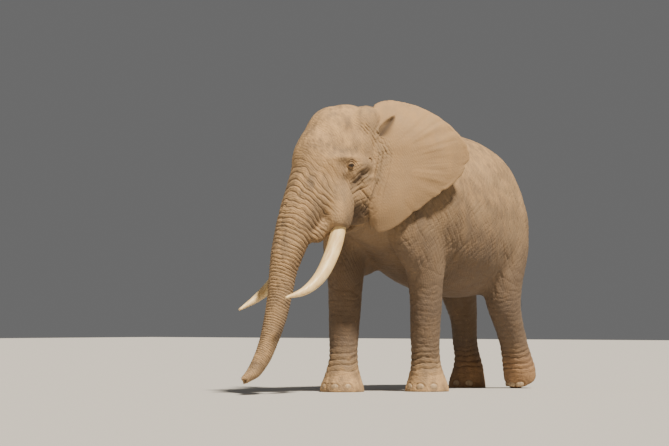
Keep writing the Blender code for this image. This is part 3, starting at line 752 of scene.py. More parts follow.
# ---------------------------------------------------------------- the skin
def ear(side):
    """One ear: a closed sheet, thick at the root, with a worn rim."""
    rows, count = EAR_GRID
    sheet, thick = ear_sheet(side, rows, count)
    share = np.linspace(0, 1, rows)[:, None]
    place = np.arange(count)
    worn = noise(np.stack([place * 0.35, place * 0 + 7.3 * side, place * 0.0], 1), 11) * 0.012
    worn += noise(np.stack([place * 0.9, place * 0 + 3.1 * side, place * 0.0], 1), 12) * 0.005
    for spot, deep in EAR_NICKS[side]:
        worn -= deep * np.exp(-(((place / (count - 1) - spot) / NICK_WIDTH) ** 2))
    worn *= np.sin(math.pi * place / (count - 1)) ** 0.5
    middle = sheet[0].mean(0)
    away = sheet[-1] - middle
    away /= np.linalg.norm(away, axis=1)[:, None]
    sheet = sheet + away * (worn * share**4)[:, :, None]
    back, out = ear_directions(side)
    turn = head_matrix() @ Matrix.Diagonal((side, 1, 1, 1))
    bm = bmesh.new()
    made = {}
    for face in (0.5, -0.5):
        level = sheet[:, :, 2] + face * thick
        s = EAR_ROOT[0] + back[0] * sheet[:, :, 0] + out[0] * level
        f = EAR_ROOT[1] + back[1] * sheet[:, :, 0] + out[1] * level
        for i, j in itertools.product(range(rows), range(count)):
            made[face, i, j] = bm.verts.new(turn @ at(s[i, j], f[i, j], sheet[i, j, 1]))
    for i, j in itertools.product(range(rows - 1), range(count - 1)):
        for face in (0.5, -0.5):
            bm.faces.new([made[face, i + di, j + dj] for di, dj in ((0, 0), (0, 1), (1, 1), (1, 0))])
    ring = [(i, 0) for i in range(rows)] + [(rows - 1, j) for j in range(1, count)]
    ring += [(i, count - 1) for i in range(rows - 2, -1, -1)] + [(0, j) for j in range(count - 2, 0, -1)]
    for here, there in zip(ring, ring[1:] + ring[:1]):
        bm.faces.new([made[0.5, *here], made[0.5, *there], made[-0.5, *there], made[-0.5, *here]])
    return linked("ear", bm)


def refined(obj, chosen):
    """The object with the chosen faces divided in four."""
    bm = bmesh.new()
    bm.from_mesh(obj.data)
    bm.faces.ensure_lookup_table()
    edges = {e for i in np.nonzero(chosen)[0] for e in bm.faces[i].edges}
    bmesh.ops.subdivide_edges(bm, edges=list(edges), cuts=1, use_grid_fill=True)
    bm.to_mesh(obj.data)
    bm.free()
    return obj


def face_centres(obj):
    """The middles of the faces, as left, forward and up."""
    co = np.empty(len(obj.data.polygons) * 3)
    obj.data.polygons.foreach_get("center", co)
    return co.reshape(-1, 3) * (1, -1, 1)


def normals_of(obj):
    """The vertices' normals, as left, forward and up."""
    co = np.empty(len(obj.data.vertices) * 3)
    obj.data.vertex_normals.foreach_get("vector", co)
    return co.reshape(-1, 3) * (1, -1, 1)


def moved(obj, p):
    """Puts the object's vertices at the given places."""
    obj.data.vertices.foreach_set("co", (p * (1, -1, 1)).ravel())
    obj.data.update()


def plain_skin():
    """Flesh, ears and tail fused under one surface, finer on the face and trunk."""
    skin = fused(joined("skin", [flesh(), ear(1), ear(-1), tube("tail", TAIL, 1, 24, 6)]), SKIN_VOXEL)
    soften(skin, 5)
    soften(skin, 90, seam_shares(head_coords(points_of(skin))))
    h = head_coords(face_centres(skin))
    fine = (h[:, 1] > -0.22) & (h[:, 2] > -2.9) & ((h[:, 2] < 0.5) | (h[:, 1] > 0.3))
    fine &= (np.abs(h[:, 0]) < 0.62) & (h[:, 1] > -0.22 - 0.9 * (h[:, 2] + 0.6))
    refined(skin, fine)
    h = head_coords(points_of(skin))
    soften(skin, 4, step(h[:, 1], -0.12, 0.1))
    return skin


def seam_shares(h):
    """1 where an ear grows out of the head, fading away from it, more widely over its top."""
    most = np.zeros(len(h))
    for side in (1, -1):
        back, out = ear_directions(side)
        for a, b, c in resampled(EAR_ROOT_LINE, 24):
            c = c * EAR_LEAN[side]
            s, f = np.array(EAR_ROOT[:2]) + back * a + out * c
            reach = 0.045 + 0.06 * step(b, 0.25, 0.45)
            d = h - (side * s, f, b - EAR_DROP[side])
            most = np.maximum(most, np.exp(-((np.linalg.norm(d, axis=1) / reach) ** 2)))
    return most


def sculpted(p, n, h):
    """Points moved out or in for the bones and hollows that the plain forms leave out, and how deep
    they are in the recess behind the cheek."""
    face = one_side(h)
    lift = np.zeros(len(p))
    for centre, radii, height in FACE_FORMS:
        lift += height * near(face, centre, radii)
    body = one_side(p)
    for centre, radii, height in BODY_FORMS:
        lift += height * near(body, centre, radii)
    lift += 0.006 * noise(p / 0.30, 3) + 0.003 * noise(p / 0.13, 4)
    edge = np.interp(h[:, 2], *np.array(CHEEK_EDGE).T) + 0.012 * noise(p / 0.12, 5)
    past = edge - h[:, 1]
    behind = step(past, 0, CHEEK_STEP) * (1 - step(past, 0.14, 0.32)) * step(face[:, 0], 0.10, 0.22)
    recess = np.interp(h[:, 2], *np.array(CHEEK_RECESS).T) * behind
    inward = head_ways(np.stack([-np.sign(h[:, 0]), h[:, 0] * 0, h[:, 0] * 0], 1))
    return p + n * lift[:, None] + inward * recess[:, None], recess


class Relief:
    """The height of the skin's folds at each point, and how much painted shade darkens its creases there, 0 to 1.
    """

    def __init__(self, count):
        self.height, self.deep = np.zeros(count), np.zeros(count)

    def darken(self, here, value):
        self.deep[here] = np.maximum(self.deep[here], value)

    def sink(self, weight, depth, field, tint):
        """Sinks creases, 1 in their bottoms, to a depth where the weight is felt, and darkens them with painted
        shade.
        """
        here = np.nonzero(weight > FELT)[0]
        value = field(here)
        self.height[here] -= weight[here] * depth * value
        self.darken(here, tint * np.minimum(1, weight[here]) * value)

    def creased(self, weight, places, depth, spacing, run, seed, stretch, sharp=0.22, tint=0.3):
        self.sink(weight, depth, lambda i: creases(places[i], spacing, run, seed, stretch, sharp), tint)

    def lined(self, weight, places, rows):
        for depth, spacing, run, seed, tint in rows:
            self.sink(weight, depth, lambda i: hatched(places[i], spacing, run, seed), tint)


def trunk_rings(relief, p, on_trunk, trunk):
    """Rings that slant down to the underside at the trunk's root and level out to its tip.

    Returns how far along the trunk each point lies, measured square to the rings."""
    run, under, _, radius = trunk
    level = run - under * (0.12 + 0.30 * (1 - step(run, 0.6, 1.7)))
    here = np.nonzero(on_trunk > FELT)[0]
    spots, past = p[here], level[here] - RING_START
    rings = RING_REACH / RING_SPACING * (np.exp(past / RING_REACH) - 1)
    bend = 0.65 * noise(spots / 0.26, 21) + 0.36 * noise(spots / 0.10, 22)
    first = 1 - dome(rings + bend, 0.5)
    second = 1 - dome(2 * (rings + bend) + 0.5 + 0.5 * noise(spots / 0.2, 23), 0.5)
    value = np.maximum(first, 0.7 * step(noise(spots / 0.22, 24), -0.25, 0.35) * second)
    depth = RING_DEPTH * np.exp(-past / 2.4) * (1 + 0.7 * step(under[here] / radius[here], 0.2, 0.9))
    depth *= 0.65 + 0.35 * noise(np.stack([rings / 0.8, spots[:, 0] / 0.3, spots[:, 0] * 0], 1), 25)
    relief.height[here] -= on_trunk[here] * depth * (value - RING_CREST)
    # painted shade in the rings' valleys
    relief.darken(here, step(on_trunk[here], 0, 0.6) * step(value, 0.25, 0.85))
    relief.creased(on_trunk, p, 0.0016, 0.035, (0.3, 0.5, -1), 31, 2.5)
    return level


def gland_folds(relief, p, face, outer):
    """The folds that run down and forward from the temporal gland, and the gland's hooked slit above them."""
    start, end = np.array(GLAND_FOLD)
    length = np.linalg.norm(end - start)
    way = (end - start) / length
    d = face[:, 1:] - start
    along = d @ way / length
    here = np.nonzero((np.abs(along - 0.5) < 0.9) & (face[:, 0] > 0.2))[0]
    off = d[here] @ np.array((-way[1], way[0]))
    off += 0.030 * noise(p[here] / 0.11, 92) + 0.012 * noise(p[here] / 0.04, 93)
    ends = step(along[here], -0.05, 0.2) * (1 - step(along[here], 0.7, 1.1)) * outer[here]
    for shift, wide, depth, tint in GLAND_LINES:
        line = ends * np.exp(-(((off + shift) / wide) ** 2))
        relief.height[here] -= depth * line
        # painted shade in the folds
        relief.darken(here, tint * line)
    d = face[:, 1:] - GLAND_SLIT
    slit = np.exp(-(((np.linalg.norm(d, axis=1) - 0.030) / 0.006) ** 2))
    slit *= step(d[:, 1] - 1.5 * d[:, 0], -0.01, 0.02) * outer
    # the slit sunk, with painted shade in it
    relief.sink(slit, 0.014, lambda i: np.ones(len(i)), 1.0)


def face_folds(relief, p, h, on_face):
    """Folds in the hollow behind the eye, over the cheek and lips, and down the front of the ear's root."""
    face = one_side(h)
    outer = step(face[:, 0], 0.2, 0.3)
    relief.lined(near(face, *TEMPLE_HOLLOW), face, HOLLOW_LINES)
    gland_folds(relief, p, face, outer)
    off = h[:, 1] - np.interp(h[:, 2], *np.array(ROOT_FOLDS).T)
    root = np.exp(-((off / 0.10) ** 4)) * step(h[:, 2], -0.75, -0.6) * (1 - step(h[:, 2], 0.36, 0.5)) * outer
    across = off / 0.046 + 0.60 * noise(p / 0.22, 44)
    broken = lambda i: step(noise(p[i] / (0.06, 0.06, 0.22), 45), -0.5, 0.3)
    relief.sink(root, 0.013, lambda i: (1 - dome(across[i], 0.5)) * broken(i), 0.7)
    for centre, reach, *rest in FACE_CREASES:
        relief.creased(near(face, centre, reach), face, *rest)
    relief.lined(on_face, face, FACE_LINES)


def body_folds(relief, p, body, ear_near):
    """A slack lattice on the flank, hanging folds behind the shoulder, and level ones under the belly."""
    places = one_side(p)
    relief.lined(body * step(p[:, 2], 1.25, 1.5), places, FLANK_LINES)
    for centre, reach, still, *rest in BODY_CREASES:
        relief.creased(body * near(places, centre, reach) * (1 - still * ear_near), places, *rest)
    belly = body * (1 - step(p[:, 2], 1.25, 1.6)) * step(p[:, 2], 1.0, 1.15)
    relief.creased(belly, places, 0.006, 0.10, (0, 1, 0.1), 56, 3.0)


def leg_folds(relief, p, legs_at, level, ringed):
    """Deep bowed folds at the wrists and heels and slanting ones above, added to the rings' run and share."""
    places = one_side(p)
    for k, (name, (out_of, ahead, off)) in enumerate(legs_at.items()):
        leg = (1 - step(p[:, 2], 1.05, 1.35)) * (1 - step(off, 1.3, 1.6))
        here = np.nonzero(leg > FELT)[0]
        spots, up, weight = p[here], p[here, 2], leg[here]
        bow = 0.55 * ahead[here] + 0.6 * out_of[here] ** 2 / 0.2
        bend = 0.55 * noise(spots / 0.22, 61 + k) + 0.3 * noise(spots / 0.09, 65 + k)
        crowd = np.exp(-(((up - CROWDED[name[:4]]) / 0.15) ** 2))
        value = 1 - dome((up + bow * 0.5) / 0.062 + bend, 0.5)
        depth = (0.0040 + 0.0120 * crowd) * step(up, 0.10, 0.24)
        relief.height[here] -= weight * depth * (value - RING_CREST)
        # painted shade in the folds' valleys
        relief.darken(here, weight * step(value, 0.3, 0.9) * np.minimum(1, depth / 0.012))
        level[here] = up + 0.5 * bow
        ringed[here] = np.maximum(ringed[here], weight * (0.4 + 0.6 * crowd))
        above, below = step(p[:, 2], 0.25, 0.4), 1 - step(p[:, 2], 0.25, 0.35)
        relief.creased(leg * above, places, 0.0045, 0.07, (0.2, 0.7, -1), 69 + k, 3.0)
        relief.creased(leg * below, places, 0.003, 0.05, (0.1, 0.2, -1), 73 + k, 2.0, 0.2)


def nail_turns(count, spread):
    """How far each toenail of a foot is turned from straight ahead."""
    return [spread * (2 * k / (count - 1) - 1) for k in range(count)]


def toe_grooves(relief, p):
    """A groove and a swollen rim of skin round each nail, with painted shade in the groove."""
    for (s, f), count, spread in FEET.values():
        for turn in nail_turns(count, spread):
            d = p[:, :2] - (s, f)
            around = d[:, 0] * math.cos(turn) - d[:, 1] * math.sin(turn)
            toward = d[:, 0] * math.sin(turn) + d[:, 1] * math.cos(turn)
            off = np.hypot(around / NAIL_SIZE[0], (p[:, 2] - NAIL_UP) / NAIL_SIZE[2]) + 9 * (toward < 0)
            groove = np.exp(-(((off - 1.05) / 0.14) ** 2))
            relief.height += 0.003 * np.exp(-(((off - 1.45) / 0.25) ** 2)) - 0.005 * groove
            # painted shade in the groove
            relief.deep = np.maximum(relief.deep, 0.4 * groove)


def ear_furrows(relief, ears):
    """Long shallow furrows fanning to the ears' upper and rear rims, shaded on their outer faces."""
    for local, shares, outward, away in ears:
        here = np.nonzero(away < EAR_SKIN[1])[0]
        d = local[here, :2] - EAR_HUB
        turn, far = np.arctan2(d[:, 1], d[:, 0]), np.hypot(d[:, 1], d[:, 0])
        wave = noise(np.stack([turn / 0.16, far / 0.9, far * 0], 1), 82)
        wave += 0.4 * noise(np.stack([turn / 0.07, far / 0.7, far * 0], 1), 83)
        reach = step(turn, -0.45, -0.10) * (1 - 0.5 * step(turn, 0.7, 1.1))
        reach *= 1 - step(away[here], *EAR_SKIN)
        reach *= step(far, 0.40, 0.90) * (1 - step(shares[here, 0], 0.93, 0.99))
        outer = outward[here] > 0
        relief.height[here] += (2 * outer - 1) * reach * FURROW_DEPTH * wave
        relief.darken(here, 0.34 * reach * step(-wave, 0.0, 0.8) * outer)


def folds(p, h, trunk, legs_at, ears):
    """The skin's relief, and the shares that its finish goes by."""
    relief = Relief(len(p))
    run, _, out, _ = trunk
    ear_near = np.maximum(*(1 - step(e[3], 0.02, 0.06) for e in ears))
    on_ear = np.maximum(*((1 - step(e[3], *EAR_SKIN)) * step(e[1][:, 0], 0.05, 0.2) for e in ears))
    head = step(h[:, 1], -0.12, 0.05) * step(p[:, 2], 1.35, 1.6) * (1 - on_ear)
    on_trunk = step(run, 0.30, 0.95) * (1 - step(out, 1.3, 1.7)) * step(h[:, 1] + 0.25 * h[:, 2], 0.36, 0.52)
    on_trunk *= 1 - step(near(one_side(h), *SMOOTH_CHEEK), 0.30, 0.75)
    level = trunk_rings(relief, p, on_trunk, trunk)
    face_folds(relief, p, h, head * (1 - on_trunk))
    body_folds(relief, p, (1 - head) * (1 - on_ear), ear_near)
    ringed = on_trunk.copy()
    leg_folds(relief, p, legs_at, level, ringed)
    toe_grooves(relief, p)
    ear_furrows(relief, ears)
    ringed = np.clip(ringed * (1 - on_ear), 0, 1)
    return relief, {"level": level, "ringed": ringed, "ear": on_ear, "face": head * (1 - on_trunk)}


def notched(p, n, coords):
    """Points pushed in along the pocket where the front edge of the ear's root folds over, and the painted shade
    inside it.
    """
    local, _, outward, away = coords
    a, b = np.array(EAR_POCKET)
    length, run = np.linalg.norm(b - a), unit(b - a)
    d = local[:, :2] - a
    along = np.clip(d @ run, 0, length)
    share = along / length
    d -= np.outer(along, run)
    off = np.linalg.norm(d, axis=1)
    over = d @ np.array((-run[1], run[0]))
    front = (outward > -0.01) & (away < 0.09)
    wide = 0.012 + 0.034 * np.sin(math.pi * share**0.55)
    sink = np.exp(-((off / wide) ** 2)) * front
    ends = (np.minimum(0, share * (1 - share) - 0.02) / 0.02) ** 2
    ridge = np.exp(-(((over - 1.8 * wide) / 0.022) ** 2) - ends - (off / 0.07) ** 4) * front
    return p + n * (POCKET_RIDGE * ridge - POCKET_SINK * sink)[:, None], sink**0.5


def eye_ways(side):
    """Out of an eye's socket, up its lids and ahead along them."""
    outward = unit(head_ways([(side * 2 * EYE[0], 0.12, 0)])[0])
    up = unit(np.array((0, 0, 1)) - outward * outward[2])
    return outward, up, np.cross(up, outward) * side


def lidded(p, centre, side):
    """Points round an eye drawn over the ball as lids, parted in an almond, with folds above and
    below, and how dark they are: the lids' own dark rims, and painted shade in their folds and the opening."""
    outward, up, ahead = eye_ways(side)
    close = np.nonzero(np.linalg.norm(p - centre, axis=1) < 0.2)[0]
    near_eye = p[close]
    d = near_eye - centre
    x, y, z = d @ ahead, d @ up, d @ outward
    c, s = math.cos(LID_TILT), math.sin(LID_TILT)
    x, y = x * c - y * s, x * s + y * c
    around = np.hypot(x, y)
    here = (around < 0.16) & (np.abs(z) < 0.12)
    half, rise, fall = LID_OPENING
    arch = np.clip(1 - (x / half) ** 2, -3, 1)
    gap = np.where(y > 0, y - rise * arch, -y - fall * arch)
    ball = np.sqrt(np.maximum((EYE_RADIUS + LID_THICKNESS) ** 2 - around**2, 0))
    cover = 1 - step(around, 0.026, 0.060)
    lid = z * (1 - cover) + np.maximum(ball, z - LID_THICKNESS) * cover
    lid += LID_RIM * np.exp(-(((gap - 0.003) / 0.0035) ** 2))
    creased = np.zeros(len(close))
    waver = 0.0025 * noise(near_eye / 0.03, 91)
    for shift, half_fold, arched, wide, depth in LID_FOLDS:
        away = (x + shift) / half_fold
        off = y - arched * (1 - np.minimum(away**2, 3)) - waver
        line = np.exp(-((off / wide) ** 2)) * (1 - step(np.abs(away), 0.65, 1.15)) * step(gap, 0, 0.006)
        lid -= depth * line
        creased = np.maximum(creased, line)
    behind = np.sqrt(np.maximum(EYE_RADIUS**2 - around**2, 0)) - 0.010 - 0.02 * step(-gap, 0, 0.01)
    lid = np.where(gap < 0, behind, lid)
    p[close] += np.where(here, lid - z, 0)[:, None] * outward
    dark = np.zeros(len(p))
    dark[close] = here * np.maximum(np.exp(-(np.maximum(gap - 0.002, 0) / 0.006) ** 2), 0.55 * creased)
    return p, dark


def tipped(p, h):
    """Points of the trunk's narrowing tip with two nostrils sunk in its end, and a finger of skin
    above and below them, and how much painted shade fills the nostrils."""
    d = h - TRUNK_END
    along, side = d @ TRUNK_TOWARD, np.abs(d[:, 0])
    up = d @ np.array((0, -TRUNK_TOWARD[2], TRUNK_TOWARD[1]))
    end = step(along, -0.035, -0.004) * (np.linalg.norm(d, axis=1) < 0.2)
    nostril = end * np.exp(-((side - 0.027) ** 2 + (up + 0.004) ** 2) / 0.0155**2)
    finger = 0.026 * np.exp(-((side / 0.030) ** 2) - ((up - 0.050) / 0.020) ** 2)
    finger += 0.016 * np.exp(-((side / 0.040) ** 2) - ((up + 0.050) / 0.018) ** 2)
    inward = np.outer(along, TRUNK_TOWARD) - d
    blunt = 0.020 * end * (inward**2).sum(1) / 0.062**2
    narrow = 0.28 * step(along, -0.22, 0.0) * (np.linalg.norm(d, axis=1) < 0.3)
    reach = (end * finger - 0.045 * nostril - blunt)[:, None] * TRUNK_TOWARD + narrow[:, None] * inward
    return p + head_ways(reach), nostril


def zones(p, h, trunk, legs_at, ears):
    """A number for the part of the animal each point belongs to: body, head, legs, ears, tail."""
    zone = np.full(len(p), BODY_ZONE)
    zone[(h[:, 1] > -0.05) & (p[:, 2] > 1.2)] = HEAD_ZONE
    zone[(trunk[0] > 0.9) & (trunk[2] < 1.6) & (h[:, 1] > 0.4)] = HEAD_ZONE
    for leg_zone, (_, _, off) in zip(LEG_ZONES, legs_at.values()):
        zone[(p[:, 2] < 1.25) & (off < 1.5)] = leg_zone
    for ear_zone, (_, shares, _, away) in zip(EAR_ZONES, ears):
        zone[(away < 0.045) & (shares[:, 0] > 0.04)] = ear_zone
    behind = (p[:, 1] < -2.30) & (np.abs(p[:, 0]) < 0.14) & (p[:, 2] < 2.60)
    zone[behind & (zone == BODY_ZONE)] = TAIL_ZONE
    return zone


def unwrapped(obj, p, n, zone, ears):
    """Lays the skin out flat: a chart for each part and each way it faces, packed without overlaps."""
    mesh = obj.data
    totals = np.empty(len(mesh.polygons), int)
    mesh.polygons.foreach_get("loop_total", totals)
    corners = np.empty(len(mesh.loops), int)
    mesh.loops.foreach_get("vertex_index", corners)
    first = np.concatenate([[0], np.cumsum(totals)[:-1]])
    facing = np.add.reduceat(n[corners], first)
    middle = np.add.reduceat(p[corners], first) / totals[:, None]
    part = zone[corners[first]]
    upright = np.isin(part, UPRIGHT_ZONES)[:, None]
    way = np.argmax(np.abs(facing) * np.where(upright, (1, 1, 0.4), (1, 1, 0.9)), axis=1)
    sign = np.take_along_axis(facing, way[:, None], 1)[:, 0] > 0
    inner = (part < 2) & (way == 0) & (sign != (middle[:, 0] > 0))
    chart = part * 16 + way * 4 + sign * 2 + inner
    flat = np.zeros((len(corners), 2))
    owner = np.repeat(chart, totals)
    for axis, (across, up) in enumerate(((1, 2), (0, 2), (0, 1))):
        chosen = (owner // 4) % 4 == axis
        flat[chosen] = p[corners[chosen]][:, (across, up)]
    for ear_zone, side, e in zip(EAR_ZONES, (1, -1), ears):
        here = owner // 16 == ear_zone
        _, out = ear_directions(side)
        outer = np.repeat(facing[:, 0] * side * out[0] + facing[:, 1] * out[1] > 0, totals)
        owner = np.where(here, ear_zone * 16 + outer, owner)
        flat[here] = e[0][corners[here]][:, :2]
    boxes = []
    for c in np.unique(owner):
        spots = flat[owner == c]
        low = spots.min(0) - CHART_MARGIN
        boxes.append((c, low, spots.max(0) + CHART_MARGIN - low))
    boxes.sort(key=lambda b: -b[2][1])
    wide = math.sqrt(sum(b[2][0] * b[2][1] for b in boxes)) * 1.08
    place, x, y, tall = {}, 0.0, 0.0, 0.0
    for c, low, size in boxes:
        if x + size[0] > wide and x > 0:
            x, y, tall = 0.0, y + tall, 0.0
        place[c] = np.array((x, y)) - low
        x, tall = x + size[0], max(tall, size[1])
    scale = 1 / max(wide, y + tall)
    uv = np.zeros_like(flat)
    for c, shift in place.items():
        here = owner == c
        uv[here] = (flat[here] + shift) * scale
    layer = mesh.uv_layers.new(name="OFBake")
    layer.uv.foreach_set("vector", uv.ravel())
    at_vertex = np.zeros((len(p), 2))
    at_vertex[corners] = uv
    return at_vertex


def stored(obj, name, values):
    """Keeps a number for each vertex, for the material to read."""
    layer = obj.data.attributes.new(name, "FLOAT", "POINT")
    layer.data.foreach_set("value", np.asarray(values, np.float32))


def eye_middles():
    """The middle of each packed eye, from the same place as the plain forms."""
    found = {}
    for side, name in ((1, "eye_left"), (-1, "eye_right")):
        low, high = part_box(name)
        found[side] = ((np.array(low) + np.array(high)) / 2 - SHIFT) * (1, -1, 1)
    return found


def finish_shares(p, n, h, zone, trunk, recessed):
    """How stained, dusty and rusty with earth each point is, and how much painted shade and painted light it
    gets.
    """
    face, on_head = one_side(h), zone == HEAD_ZONE
    across = (face[:, 1:] - GLAND_CENTRE) @ GLAND_TURN / GLAND_SIZE
    stain_and_shade = np.exp(-(np.linalg.norm(across, axis=1) ** 2)) * on_head
    # A darker patch over the upper temple.
    stain_and_shade = np.maximum(stain_and_shade, 0.6 * near(face, (0.36, 0.28, 0.40), (0.2, 0.08, 0.09)))
    # Painted shade in the recess behind the cheek, over the jaw.
    recess_shade = 1.2 * near(face, (0.30, 0.15, -0.62), (0.25, 0.14, 0.16)) * step(recessed, 0.01, 0.04)
    stain_and_shade = np.maximum(stain_and_shade, recess_shade * ((zone == BODY_ZONE) | on_head))
    # Pale earth on the forehead, the feet and the trunk's tip, and painted light: skin facing up, and skin facing
    # forward on the head, made paler as if lit.
    dust_and_painted_light = step(n[:, 2], -0.1, 0.9) * 0.7 + 0.9 * near(face, (0.3, 0.45, 0.30), (0.35, 0.25, 0.30))
    dust_and_painted_light = np.maximum(dust_and_painted_light, 1 - step(p[:, 2], 0.12, 0.42))
    dust_and_painted_light = np.maximum(dust_and_painted_light, step(trunk[0], 2.7, 3.3) * on_head) + 0.6 * step(n[:, 1], 0.0, 0.8) * on_head
    # Painted shade: darker on skin facing down at the belly's height, and over the body and legs between about
    # half a metre and two metres up, away from the head.
    under = (1 - step(p[:, 2], 1.1, 1.8)) * step(-n[:, 2], -0.2, 0.8) * step(p[:, 2], 0.5, 1.0)
    lower = 0.9 * (1 - step(p[:, 2], 1.2, 2.4)) * step(p[:, 2], 0.25, 0.6) * ~on_head
    rust = (p[:, 1] < -1.4) * (1 - step(p[:, 2], 0.25, 0.65))
    return {"stain_and_shade": stain_and_shade, "dust_and_painted_light": np.clip(dust_and_painted_light, 0, 1), "shade": np.maximum(under, lower), "rust": rust}


def skin(eyes):
    """The whole skin with its folds, lids, flat layout and the shares its colours go by."""
    obj = plain_skin()
    p = points_of(obj)
    shaped, recess = sculpted(p, normals_of(obj), head_coords(p))
    moved(obj, shaped)
    stored(obj, "recess", recess)
    for reach in (0.13, 0.085):
        centres = face_centres(obj)
        refined(obj, np.any([np.linalg.norm(centres - eye, axis=1) < reach for eye in eyes.values()], axis=0))
    p, n = points_of(obj), normals_of(obj)
    h = head_coords(p)
    recessed = np.empty(len(p), np.float32)
    obj.data.attributes["recess"].data.foreach_get("value", recessed)
    obj.data.attributes.remove(obj.data.attributes["recess"])
    trunk = trunk_coords(h)
    legs_at = {name: leg_coords(p, side, stations) for name, side, stations in leg_lines()}
    ears = [ear_coords(h, side) for side in (1, -1)]
    zone = zones(p, h, trunk, legs_at, ears)
    relief, shares = folds(p, h, trunk, legs_at, ears)
    calm = np.ones(len(p))
    for centre in eyes.values():
        calm *= step(np.linalg.norm(p - centre, axis=1), 0.035, 0.085)
    new = p + n * (relief.height * calm * step(p[:, 2], 0.0, 0.05))[:, None]
    darks = [relief.deep * calm]
    for coords in ears:
        new, pocket = notched(new, n, coords)
        darks.append(pocket)
    for side, centre in eyes.items():
        new, lid = lidded(new, centre, side)
        darks.append(lid)
    new, nostrils = tipped(new, head_coords(new))
    # Painted shade in the creases, the ear's pocket, the lid folds, the eye's opening and the nostrils, with the
    # lids' own dark rims.
    shares["crease_shade_and_dark_lids"] = np.max([*darks, nostrils], axis=0)
    shares.update(finish_shares(p, n, h, zone, trunk, recessed))
    uv = unwrapped(obj, p, n, zone, ears)
    moved(obj, new)
    for name, values in shares.items():
        stored(obj, name, values)
    obj.data.transform(Matrix.Translation(SHIFT))
    obj.name = obj.data.name = "skin"
    obj.data.shade_smooth()
    return obj, uv, zone


# ---------------------------------------------------------------- horn, ivory, eyes and hair
def tusk(name, stations, side):
    """A smooth tusk with the stations' curve."""
    obj = tube(name, stations, side, 72, 16)
    obj.data.transform(Matrix.Translation(SHIFT) @ head_matrix())
    obj.data.shade_smooth()
    return obj


def eyeball(name, side, centre):
    """A ball with its iris and pupil told by how far each point is turned from where it looks."""
    obj = ball(name, at(*centre) + Vector(SHIFT), (EYE_RADIUS,) * 3, 64)
    look = unit(head_ways([(side * 2 * EYE[0], 0.32, -0.06)])[0])
    d = points_of(obj) - centre - OFFSET
    d /= np.linalg.norm(d, axis=1)[:, None]
    stored(obj, "turned", np.degrees(np.arccos(np.clip(d @ look, -1, 1))))
    obj.data.shade_smooth()
    return obj


def toenails():
    """Worn horn nails on the fronts of the feet, each where the CAD has one."""
    made = []
    for foot, (_, count, spread) in FEET.items():
        for k, turn in enumerate(nail_turns(count, spread)):
            low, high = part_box(f"nail_{foot}_{k + 1}")
            toward = Vector((math.sin(turn), -math.cos(turn), 0))
            middle = (low + high) / 2
            middle.z = NAIL_UP
            nail = ball("horn", middle - toward * NAIL_SINK, NAIL_SIZE, 36, turn)
            for vertex in nail.data.vertices:
                vertex.co.z = max(vertex.co.z, NAIL_BASE)
            made.append(nail)
    return made


def strand(bm, layer, line, radius, uv, sides=3):
    """One tapered hair along a line of points, with its patch on the skin's flat layout."""
    rings = []
    for i, spot in enumerate(line):
        share = i / (len(line) - 1)
        along = (line[min(i + 1, len(line) - 1)] - line[max(i - 1, 0)]).normalized()
        across = along.orthogonal().normalized()
        deep = along.cross(across)
        thick = radius * (1 - 0.8 * share)
        turns = [2 * math.pi * k / sides for k in range(sides)]
        ring = [spot + (across * math.cos(t) + deep * math.sin(t)) * thick for t in turns]
        rings.append([bm.verts.new(place) for place in ring])
    faces = []
    for i, (low, high) in enumerate(zip(rings, rings[1:])):
        for k in range(sides):
            j = (k + 1) % sides
            face = bm.faces.new((low[k], low[j], high[j], high[k]))
            faces.append(face)
            for loop, (du, dv) in zip(face.loops, ((k, i), (k + 1, i), (k + 1, i + 1), (k, i + 1))):
                loop[layer].uv = uv + Vector((du / sides, dv / (len(line) - 1))) * HAIR_PATCH
    for ring in (list(reversed(rings[0])), rings[-1]):
        for loop in bm.faces.new(ring).loops:
            loop[layer].uv = uv


def nearest_point(points, close, place):
    """Which of the close points lies nearest a place."""
    return close[np.argmin(((points[close] - place) ** 2).sum(1))]


def hairs(name, roots):
    """One mesh of many hairs: each root gives its place, first way, length, thickness, droop, place
    on the skin's flat layout and how many lengths it bends in."""
    rng = np.random.default_rng(5)
    bm = bmesh.new()
    layer = bm.loops.layers.uv.new("OFBake")
    for place, direction, length, radius, droop, uv, steps in roots:
        line = [place - direction * min(0.01, length / 5)]
        step_by = length / steps
        heading = direction.copy()
        for _ in range(steps):
            heading = (heading + Vector((*rng.normal(0, 0.07, 2), -droop + rng.normal(0, 0.03)))).normalized()
            line.append(line[-1] + heading * step_by)
        strand(bm, layer, line, radius, Vector(uv))
    mesh = bpy.data.meshes.new(name)
    bmesh.ops.recalc_face_normals(bm, faces=bm.faces)
    bm.to_mesh(mesh)
    bm.free()
    obj = bpy.data.objects.new(name, mesh)
    bpy.context.scene.collection.objects.link(obj)
    return obj


def tail_hairs(skin_points, uv):
    """The tail's stiff black tuft, in a front and a rear row."""
    rng = np.random.default_rng(7)
    line = smooth_stations(TAIL, 8)
    roots = []
    low = line[line[:, 2] < 1.52]
    s, f, u = skin_points.T
    close = np.nonzero((f < -2.3) & (np.abs(s) < 0.2) & (u < 1.8))[0]
    for _ in range(TAIL_HAIRS):
        s, f, u, a, b = low[rng.integers(len(low))] if rng.random() < 0.6 else low[-1]
        turn = rng.uniform(0, 2 * math.pi) if u < 1.36 else rng.normal(math.pi / 2 * rng.choice((1, -1)), 0.5)
        c, d = math.cos(turn), math.sin(turn)
        place = np.array((s, f, u)) + OFFSET + (c * a * 0.8, d * b * 0.8, rng.normal(0, 0.02))
        way, length = at(c * 0.25, d * 0.30, -1).normalized(), rng.uniform(0.16, 0.36)
        layout = uv[nearest_point(skin_points, close, place)]
        roots.append((at(*place), way, length, 0.0016, 0.25, layout, 7))
    return hairs("tuft", roots)


